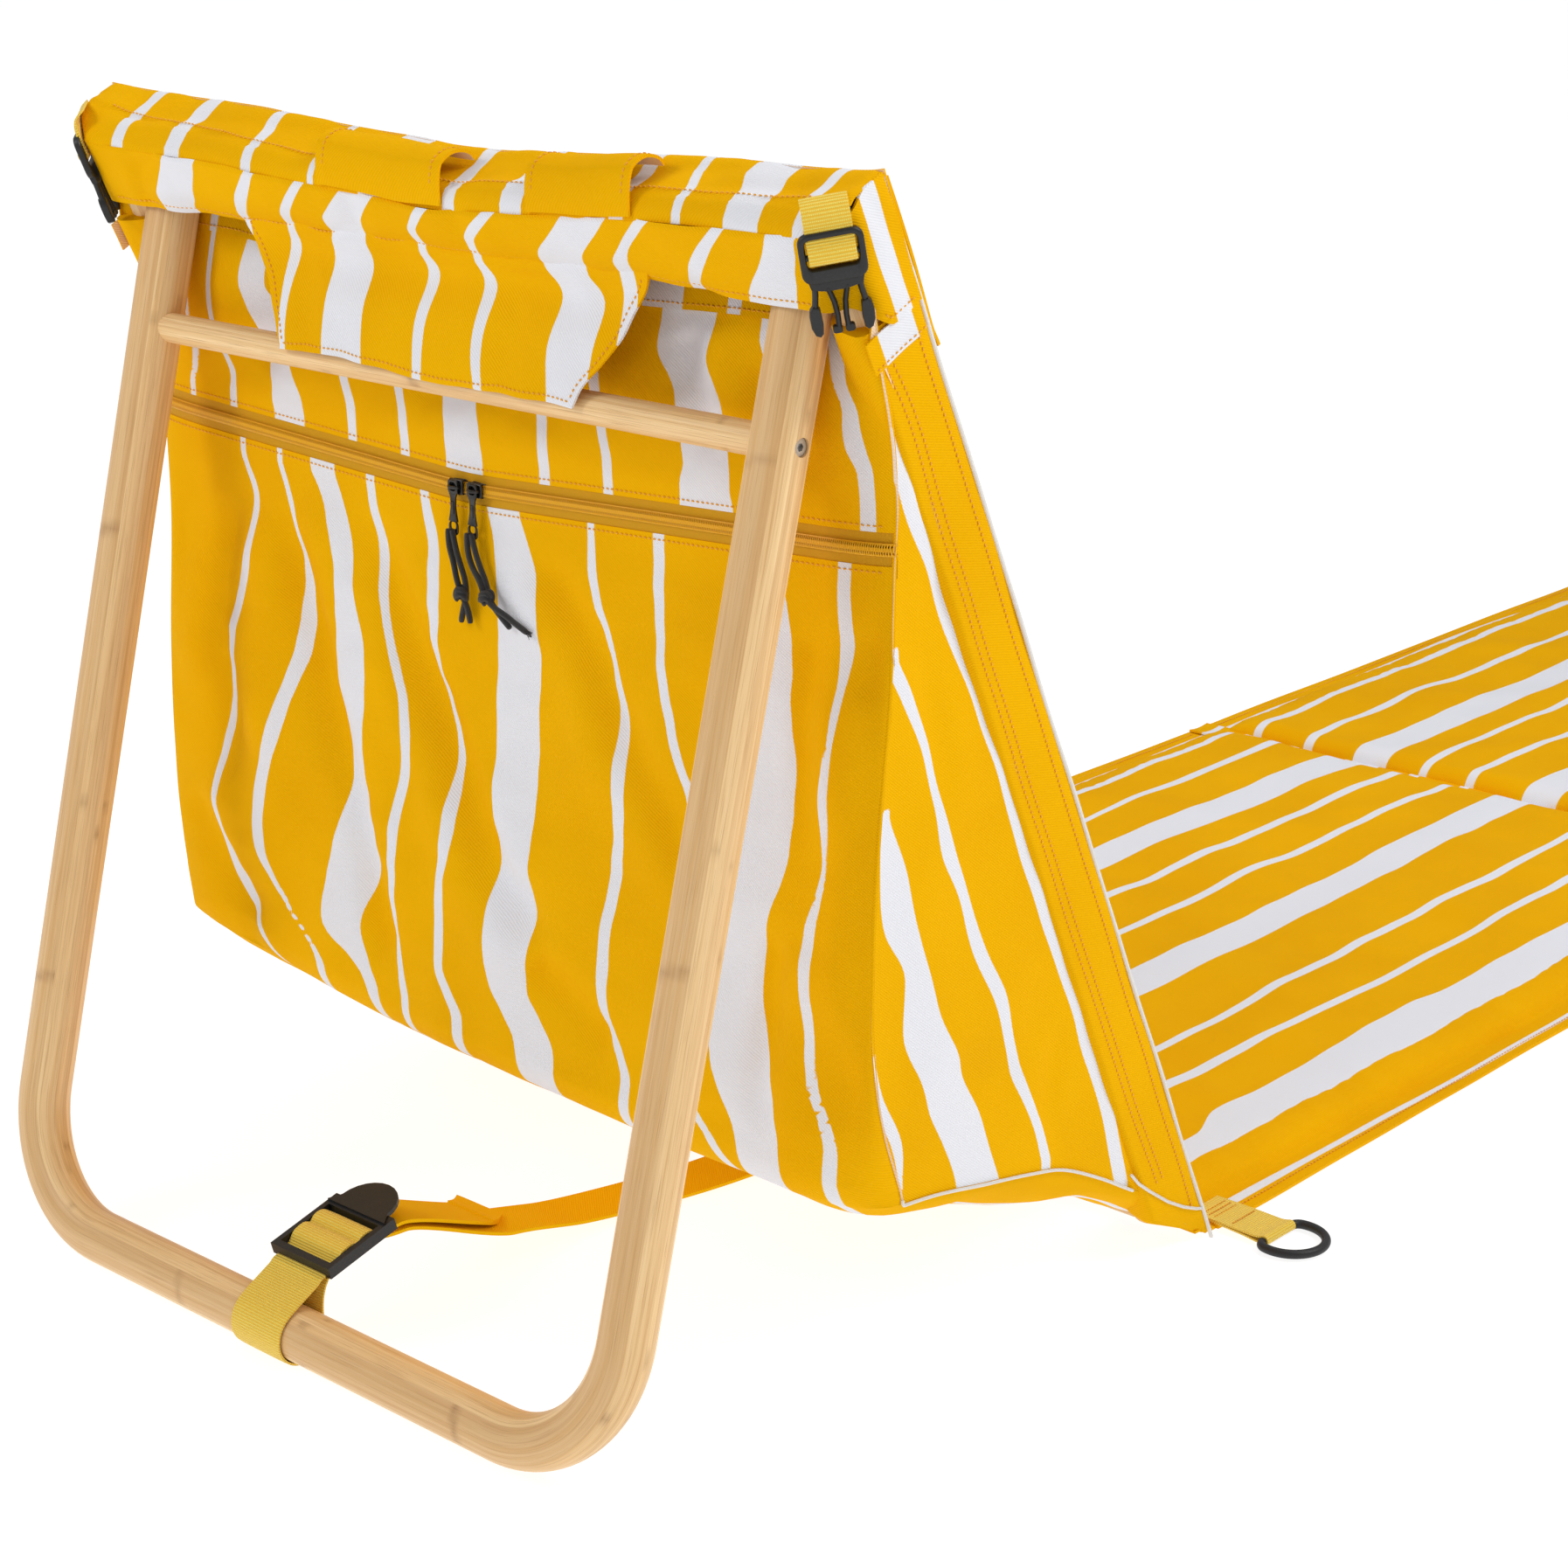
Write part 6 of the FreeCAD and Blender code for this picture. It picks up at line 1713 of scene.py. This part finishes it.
for sg, name in ((1, "left"), (-1, "right")):
    # tab of the mat's corner, folded round the straight side of its ring
    sh = Shell()
    zt = 2.85
    pts = [wp(sg * x, -22.5, z) for x, z in ((268, 5.3), (290, 5.5), (306, 5.2), (316, 4.9))]
    for k in range(9):
        an = math.pi * (0.5 - k / 8)
        pts.append(wp(sg * (321 + 3.2 * math.cos(an)), -22.5, zt + 0.4 + 3.3 * math.sin(an)))
    pts += [wp(sg * x, -22.5, z) for x, z in ((312, 2.2), (290, 3.6), (270, 4.6))]
    line = smooth_line(pts, 1.4, 1)
    line[:, 2] = np.maximum(line[:, 2], 1.4)
    ribbon(sh, line, 29, (0, sg, 0), 1.1)
    ob = sh.build("ring_tab_" + name, M["web"], angle=60)
    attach(ob, "seat_mat")
    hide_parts("d_ring_webbing_" + name)
    st = Stitches()
    for dx in (276, 280, 284, 297):
        yy = np.linspace(-34.5, -10.5, 16)
        st.line(wp(sg * (dx + 0 * yy), yy, 5.55 + 0 * yy), (0, 0, 1), pitch=2.3, length=2.0, seed=dx)
    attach(st.build("ring_tab_stitches_" + name), "seat_mat")
    # strap on the hood's chamfered corner, and the male half of its buckle
    R2 = math.sqrt(0.5)
    out = np.array([sg * R2, 0, 0]) + NB * R2
    across = np.array([-sg * R2, 0, 0]) + NB * R2
    lean = math.radians(-8.0)
    ub = UB * math.cos(lean) - across * math.sin(lean) * -1.0
    ac = across * math.cos(lean) + UB * math.sin(lean) * -1.0
    org = bp(sg * (291.5 - 9), 0, 34).reshape(3) + UB * 716.0

    def mid(a):
        return org + ub * (a - 716.0)

    sh = Shell()
    path = [(722, -5.5), (719.0, 0.2), (714, 2.4), (707, 3.4), (702.5, 5.0), (699.5, 6.7), (696.5, 6.8), (694, 5.6), (693.6, 3.0),
            (696.0, 1.2), (700, 1.1), (708, 1.2), (715, 0.9)]
    ribbon(sh, smooth_line([mid(a) + out * o_ for a, o_ in path], 1.2, 2), 22.4, ac, 1.1)
    ob = sh.build("top_strap_" + name, M["web"], angle=60)
    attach(ob, "top_buckle_" + name)
    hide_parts("top_strap_" + name)
    bs = Shell()
    c0 = mid(697.0)
    outer, inner = round_rect(31, 25.5, 5.5, 6, cy=-0.6), round_rect(24.4, 15.4, 2.6, 6, cy=1.6)
    outer, inner = np.array(outer), np.array(inner)
    co, ci = outer.mean(0), inner.mean(0)

    def ringat(o2, h):
        return c0 + o2[:, :1] * ac + o2[:, 1:] * ub + out * h

    def off(o2, c2, d):
        return c2 + (o2 - c2) * (1 - d / np.linalg.norm(o2 - c2, axis=1, keepdims=True))
    rings = [ringat(inner, 2.4), ringat(off(inner, ci, -0.5), 1.9), ringat(off(outer, co, 0.6), 1.9), ringat(outer, 2.6),
             ringat(outer, 4.9), ringat(off(outer, co, 0.4), 5.5), ringat(off(outer, co, 1.2), 5.8),
             ringat(off(inner, ci, -0.8), 5.8), ringat(off(inner, ci, -0.2), 5.4), ringat(inner, 4.8), ringat(inner, 2.4)]
    bs.grid(np.stack(rings), wrap=True)
    bs.tube([c0 + ac * q + out * 4.0 + ub * 0.2 for q in np.linspace(-12.6, 12.6, 12)], 1.55, 12)
    # shoulder below the frame
    rounded(bs, c0, ac, ub, out, [(-13.2, -11.5), (13.2, -11.5), (12.2, -16.2), (5.0, -17.8), (-5.0, -17.8), (-12.2, -16.2)], 2.0, 5.4, 0.6)
    for sd in (-1, 1):
        arm = [c0 + ac * (sd * x_) + ub * y_ + out * z_ for x_, y_, z_ in
               ((10.4, -14, 3.7), (10.8, -19, 3.7), (11.6, -24, 3.7), (12.0, -28, 3.7))]
        bs.tube(resample(np.array(arm), 1.0), 1.5, 10, flat=1.15, up=out)
        pad_ = [(sd * x_, y_) for x_, y_ in ((9.6, -26.5), (10.4, -25.2), (13.0, -24.6), (14.6, -26.6), (15.2, -30.5), (15.0, -35.5),
                                             (13.6, -39.4), (11.4, -40.6), (9.8, -39.0), (9.2, -34.0))]
        rounded(bs, c0, ac, ub, out, pad_, 1.5, 5.9, 0.8)
        yarm = [c0 + ac * (sd * x_) + ub * y_ + out * z_ for x_, y_, z_ in
                ((4.6, -16, 3.9), (2.6, -24, 4.1), (2.0, -31, 4.0), (2.2, -37, 3.6))]
        bs.tube(resample(np.array(yarm), 1.0), 1.35, 10, flat=1.3, up=out)
        rounded(bs, c0, ac, ub, out, round_rect(4.6, 4.0, 1.3, 4, cx=sd * 3.0, cy=-38.4), 1.9, 4.8, 0.5)
    bb = bs.build("buckle_" + name, M["plastic"], angle=38, recalc=True)
    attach(bb, "top_buckle_" + name)
    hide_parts("top_buckle_" + name)

# webbing round the floor bar, its neck and the weave through the ladder lock
LX = 10.0
TH, TF = math.radians(28.0), math.radians(15.0)
BC = lp(0, 0, 0).reshape(3)
DF, NF = np.array([0, -math.cos(TH), math.sin(TH)]), np.array([0, math.sin(TH), math.cos(TH)])
BD, BN = np.array([0, -math.cos(TF), math.sin(TF)]), np.array([0, math.sin(TF), math.cos(TF)])
BO = BC + NF * 15.05 + DF * 29.0


def kp(x, d, n):
    o = BO + BD * d + BN * n
    return np.array([LX + x, o[1], o[2]])


sh = Shell()
pts = []
for k in range(41):
    an = math.radians(-96 + (360 - 40) * k / 40) + TH
    # round the bar, from its front underside up over the top
    pts.append(BC + np.array([LX, math.sin(an) * -0 + 0, 0]) + NF * (16.2 * math.cos(math.pi * 2 * 0)) * 0)
loop = []
for k in range(44):
    an = math.radians(232 - (232 + 2) * k / 43)
    loop.append(BC + EX * LX + (-DF) * (16.3 * math.sin(an)) + NF * (16.3 * math.cos(an)))
neck_hi = [BC + EX * LX + NF * 16.6 + DF * d for d in (6, 12, 18, 24)]
weave = [kp(0, d, n) for d, n in ((-4, 1.8), (4, 2.0), (9.0, 3.4), (13.5, 7.9), (17, 8.6), (22, 8.6), (24.6, 6.0), (26.4, 6.0),
                                  (29, 8.6), (34, 8.6), (37.0, 6.6), (40.0, 2.4))]
line = smooth_line(np.array([p for p in loop[::3]] + neck_hi + weave), 1.5, 2)
ribbon(sh, line, 40.4, (-1, 0, 0), 1.15)
# the lower layer of the neck, from the bar's front underside
lowneck = [BC + EX * LX + (-DF) * (16.3 * math.sin(math.radians(232))) + NF * (16.3 * math.cos(math.radians(232)))]
lowneck = [lowneck[0], BC + EX * LX + DF * 18 + NF * 2, BC + EX * LX + DF * 24 + NF * 10, BC + EX * LX + DF * 31 + NF * 14.6,
           kp(0, 6, 0.4), kp(0, 9, 0.6)]
ribbon(sh, smooth_line(np.array(lowneck), 1.5, 2), 40.0, (-1, 0, 0), 1.1)
web_ob = sh.build("bar_webbing", M["web"], angle=60)
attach(web_ob, "rear_frame")
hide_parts("bar_webbing")
st = Stitches()
for d in (10.0, 14.0):
    st.line([BC + EX * x + NF * 17.0 + DF * d for x in np.linspace(LX - 17, LX + 17, 18)], NF, pitch=2.6, length=2.1, seed=int(d))
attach(st.build("bar_webbing_stitches"), "rear_frame")

# recline strap: out of the bag's foot, over the floor, up through the buckle and back
e_, f_ = kp(0, 44, -1.4), kp(0, 60, -6)
run = [(-25, 44, 24), (-25, 58, 15), (-23, 80, 6), (-19, 110, 3.4), (-11, 155, 2.8), (0, 200, 3.4), (8, 240, 6), (10, 262, 11), (10, 285, 17),
       (10, 305, 20.5)]
P1 = [wp(*p).reshape(3) for p in run]
P1 += [kp(0, 66, -9.0), kp(0, 52, -4.6), kp(0, 44, -1.2), kp(0, 40.6, 1.0), kp(0, 38.5, 4.0), kp(0, 35.5, 6.6), kp(0, 29, 7.4), kp(0, 26, 4.4), kp(0, 24, 4.4),
       kp(0, 21, 7.2), kp(0, 16, 7.0), kp(0, 12, 1.0)]
P1 = [p for p in P1]
main = smooth_line(np.array(P1), 3.0, 3)
sh = Shell()
sidev = np.array([-1.0, 0, 0])
ribbon(sh, main, 38.5, sidev, 1.9, 0.15, 13)
tail = [kp(0, 14, 0.2), kp(0, 30, -1.2), kp(0, 50, -0.8), kp(0, 64, -4.6), wp(14, 315, 29).reshape(3), wp(24, 296, 19).reshape(3), wp(33, 285, 15.8).reshape(3)]
tl_line = smooth_line(np.array(tail), 3.0, 3)
Pt, Nt = ribbon(sh, tl_line, 38.5, sidev, 2.0, 0.15, 13)
hem_l = tl_line[-9:] + np.array([0, 0, 1.7])
ribbon(sh, hem_l, 38.9, sidev, 1.6, 0.15, 13)
strap_ob = sh.build("recline_strap", M["strap"], angle=60)
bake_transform(strap_ob)
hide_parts("recline_strap", "strap_tail")

# ------------------------------------------------------------------ bamboo
def bamboo_rod(name, line, radius, seed, strips=9, ends=True, node_gap=(210, 330), oval=1.0):
    """A rod of glued strips: each keeps its own shade and joints along it."""
    rnd = random.Random(seed)
    line = np.asarray(line, float)
    sh = Shell()
    n = 60
    T = np.gradient(line, axis=0)
    T /= np.linalg.norm(T, axis=1, keepdims=True)
    plane = np.cross(line[len(line) // 2] - line[0], line[-1] - line[0])
    if np.linalg.norm(plane) < 1e-6:
        plane = np.cross(T[0], [0, 0, 1.0])
    plane /= np.linalg.norm(plane)
    s = np.concatenate([[0], np.cumsum(np.linalg.norm(np.diff(line, axis=0), axis=1))])
    th = np.linspace(0, 2 * math.pi, n, endpoint=False)
    B = np.cross(T, plane)
    B /= np.linalg.norm(B, axis=1, keepdims=True)
    ring = np.cos(th)[None, :, None] * plane[None, None, :] + np.sin(th)[None, :, None] * B[:, None, :]
    # strips are layers across the plane of the bend
    layer = np.cos(th)
    edges = sorted([-1.0, 1.0] + [(-0.78 + 1.56 * k / (strips - 2)) + rnd.uniform(-0.04, 0.04) for k in range(strips - 1)])
    idx = np.clip(np.searchsorted(edges, layer) - 1, 0, strips)
    tone = [rnd.uniform(0.1, 0.9) for _ in range(strips + 2)]
    tone = np.array(tone)[idx]
    off = np.array([rnd.uniform(0, 700) for _ in range(strips + 2)])[idx]
    knots = np.zeros((len(s), n))
    for k in range(strips + 2):
        if rnd.random() < 0.35:
            continue
        pos = rnd.uniform(-60, 200)
        while pos < s[-1] + 40:
            m = idx == k
            w = rnd.uniform(2.0, 4.0)
            g = np.exp(-((s[:, None] - pos - 2.0 * np.sin(th * 2)[None, :]) / w) ** 2) * rnd.uniform(0.35, 0.8)
            knots[:, m] = np.maximum(knots[:, m], g[:, m])
            pos += rnd.uniform(*node_gap)
    rad = radius * (1 + 0.0016 * np.sin(s / 37)[:, None] + 0.001 * np.sin(3 * th)[None, :])
    P = line[:, None, :] + ring * rad[..., None]
    U = np.broadcast_to((th * radius)[None, :], rad.shape) + off[None, :] * 0.37
    V = np.broadcast_to(s[:, None], rad.shape) + off[None, :]
    faces_n = len(s)
    # per-strip values are kept apart by giving every column its own pair of edges
    for j in range(n):
        j1 = (j + 1) % n
        Pj = np.stack([P[:, j], P[:, j1]], 1)
        u0 = th[j] * radius + off[j] * 0.37
        Uj = np.stack([np.full(faces_n, u0), np.full(faces_n, u0 + radius * 2 * math.pi / n)], 1)
        Vj = np.stack([s + off[j]] * 2, 1)
        Kj = np.stack([knots[:, j], knots[:, j1] if idx[j1] == idx[j] else knots[:, j]], 1)
        sh.grid(Pj, Uj, Vj, Kj, tone[j])
    if ends:
        for c, row, t, fl in ((line[0], P[0], -T[0], True), (line[-1], P[-1], T[-1], False)):
            rim = np.stack([row, c + (row - c) * 0.955 + t * radius * 0.045, c + (row - c) * 0.90 + t * radius * 0.06])
            sh.grid(rim, (th * radius)[None, :], np.array([0, 1, 2])[:, None], flag=0.4, flip=fl, wrap=True)
            m = rim[-1]
            f = tuple(range(n))
            sh.add(m, [f[::-1] if fl else f], pt=np.tile([0.15, 0.35], (n, 1)), uv=(m[:, :2] * 3))
    ob = sh.build(name, M["bamboo"], merge=0.01, angle=40, recalc=True)
    return ob


S_PIV, BEND = 602.32, 73.0
line = []
up = np.linspace(S_PIV, BEND, 150)
for s_ in up:
    line.append(lp(LEG_X, s_, 0))
for k in range(1, 25):
    an = math.pi / 2 * k / 24
    line.append(lp(LEG_X - BEND + BEND * math.cos(an), BEND - BEND * math.sin(an), 0))
for x in np.linspace(LEG_X - BEND, -(LEG_X - BEND), 100)[1:-1]:
    line.append(lp(x, 0, 0))
for k in range(0, 24):
    an = math.pi / 2 * k / 24
    line.append(lp(-(LEG_X - BEND) - BEND * math.sin(an), BEND - BEND * math.cos(an), 0))
for s_ in up[::-1]:
    line.append(lp(-LEG_X, s_, 0))
frame_ob = bamboo_rod("rear_frame", np.array(line), 15.0, 5)
# rounded tops
cut = []
for sg in (-1, 1):
    me = bpy.data.meshes.new("bore")
    bm = bmesh.new()
    o = lp(sg * (LEG_X + 15.0), 522.0, 0) * 0.001
    bmesh.ops.create_cone(bm, cap_ends=True, segments=40, radius1=0.0048, radius2=0.0048, depth=0.009,
                          matrix=Matrix.Translation(Vector(o)) @ Matrix.Rotation(math.pi / 2, 4, "Y"))
    bm.to_mesh(me)
    bm.free()
    c = bpy.data.objects.new("bore", me)
    bpy.context.scene.collection.objects.link(c)
    m = frame_ob.modifiers.new("bore", "BOOLEAN")
    m.operation = "DIFFERENCE"
    m.solver = "EXACT"
    m.object = c
    cut.append(c)
bpy.context.view_layer.update()
dg = bpy.context.evaluated_depsgraph_get()
new = bpy.data.meshes.new_from_object(frame_ob.evaluated_get(dg))
frame_ob.modifiers.clear()
frame_ob.data = new
for c in cut:
    bpy.data.objects.remove(c)
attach(frame_ob, "rear_frame")
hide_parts("rear_frame_tube")
for sg in (-1, 1):
    nose = Shell()
    th = np.linspace(0, 2 * math.pi, 48, endpoint=False)
    rows = []
    for k in range(13):
        q = math.pi / 2 * k / 12
        c = lp(sg * LEG_X, S_PIV + 13.5 * math.sin(q), 0).reshape(3)
        rr = 15.0 * math.cos(q) ** 0.8 if k < 12 else 0.4
        rows.append(c[None] + rr * (np.cos(th)[:, None] * EX + np.sin(th)[:, None] * NL))
    nose.grid(np.stack(rows), (th * 15)[None, :], (np.arange(13) * 2.0)[:, None], 0.0, 0.5, flip=False, wrap=True)
    nb_ = nose.build("leg_top_%d" % (sg > 0), M["bamboo"], angle=60, recalc=True)
    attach(nb_, "rear_frame")
rx = LEG_X - 10.5
rung_line = lp(np.linspace(-rx, rx, 120), 522.0, 0.0)
rung = bamboo_rod("rung", rung_line, 8.5, 23, strips=5, ends=False)
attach(rung, "rear_frame")
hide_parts("cross_rung")
for sg, name in ((1, "left"), (-1, "right")):
    pl_line = bp(sg * 272.2, np.linspace(36, 702, 60), 19.0)
    pole = bamboo_rod("pole_" + name, pl_line, 13.6, 61 + sg, strips=7)
    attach(pole, "backrest")
    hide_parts("front_pole_" + name)


def plain_bamboo(n):
    geo = n.new("ShaderNodeTexCoord").outputs["Object"]
    g = n.noise(n.mapping(geo, (6.0, 300.0, 300.0)), 1.0, 3.0)
    n.set(color=n.mix(n.ramp(g, 0.3, 0.7), srgb(238, 204, 150), srgb(206, 160, 100)), rough=0.45)


M["bamboo_plain"] = simple("bamboo_bar", plain_bamboo)

# --------------------------------------------------- hard parts kept as CAD
LOOK = {"front_top_bar": "bamboo_plain", "front_bottom_bar": "bamboo_plain", "front_frame_screws": "steel",
        "pivot_bolts": "steel", "pivot_nuts": "steel", "pivot_washers": "steel", "rung_screws": "steel",
        "ladder_lock_buckle": "plastic",
        "d_ring_left": "ring", "d_ring_right": "ring"}
SLOT = {"bamboo_plain": "bamboo", "steel": "steel", "plastic": "black_plastic", "ring": "blackened_metal"}
for node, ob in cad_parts.items():
    if node not in LOOK or ob.hide_render:
        continue
    ob.data.materials.clear()
    ob.data.materials.append(M[LOOK[node]])
    ob.data.shade_smooth()
    ob.data.set_sharp_from_angle(angle=math.radians(32))
    if LOOK[node] in ("plastic", "ring"):
        b = ob.modifiers.new("bevel", "BEVEL")
        b.width = 0.0006 if LOOK[node] == "plastic" else 0.0003
        b.segments = 3
        b.limit_method = "ANGLE"
        b.angle_limit = math.radians(32)
        b.harden_normals = True

# ------------------------------------------------------------ floor, light
me = bpy.data.meshes.new("floor")
me.from_pydata([(-9, -9, -0.0012), (9, -9, -0.0012), (9, 9, -0.0012), (-9, 9, -0.0012)], [], [(0, 1, 2, 3)])
floor = bpy.data.objects.new("floor", me)
me.materials.append(M["floor"])
bpy.context.scene.collection.objects.link(floor)


def area(name, loc, target, size, power, color=(1, 1, 1)):
    la = bpy.data.lights.new(name, "AREA")
    la.shape = "DISK"
    la.size = size
    la.energy = power
    la.color = color
    ob = bpy.data.objects.new(name, la)
    ob.location = loc
    d = Vector(target) - Vector(loc)
    ob.rotation_euler = d.to_track_quat("-Z", "Y").to_euler()
    bpy.context.scene.collection.objects.link(ob)
    return ob


def from_cam(side, up, back, dist):
    v = _r2 * side + Vector((0, 0, 1)) * up + Vector((_back.x, _back.y, 0)).normalized() * back
    return Vector((0, 0.7, 0.3)) + v.normalized() * dist


area("key", from_cam(0.95, 0.95, 0.35, 2.7), (0, 0.6, 0.3), 1.0, 27, (1.0, 0.985, 0.96))
area("side", from_cam(-1.0, 0.75, 0.35, 2.6), (0, 0.75, 0.3), 0.8, 14, (1.0, 0.99, 0.97))
area("top", (0.0, -0.3, 2.6), (0, -0.1, 0), 2.0, 9)
world = bpy.data.worlds.new("world")
bpy.context.scene.world = world
world.use_nodes = True
bg = world.node_tree.nodes["Background"]
bg.inputs[0].default_value = (1.0, 1.0, 1.0, 1)
bg.inputs[1].default_value = 0.50
bpy.context.scene.view_settings.view_transform = "Standard"
bpy.context.scene.view_settings.look = "None"
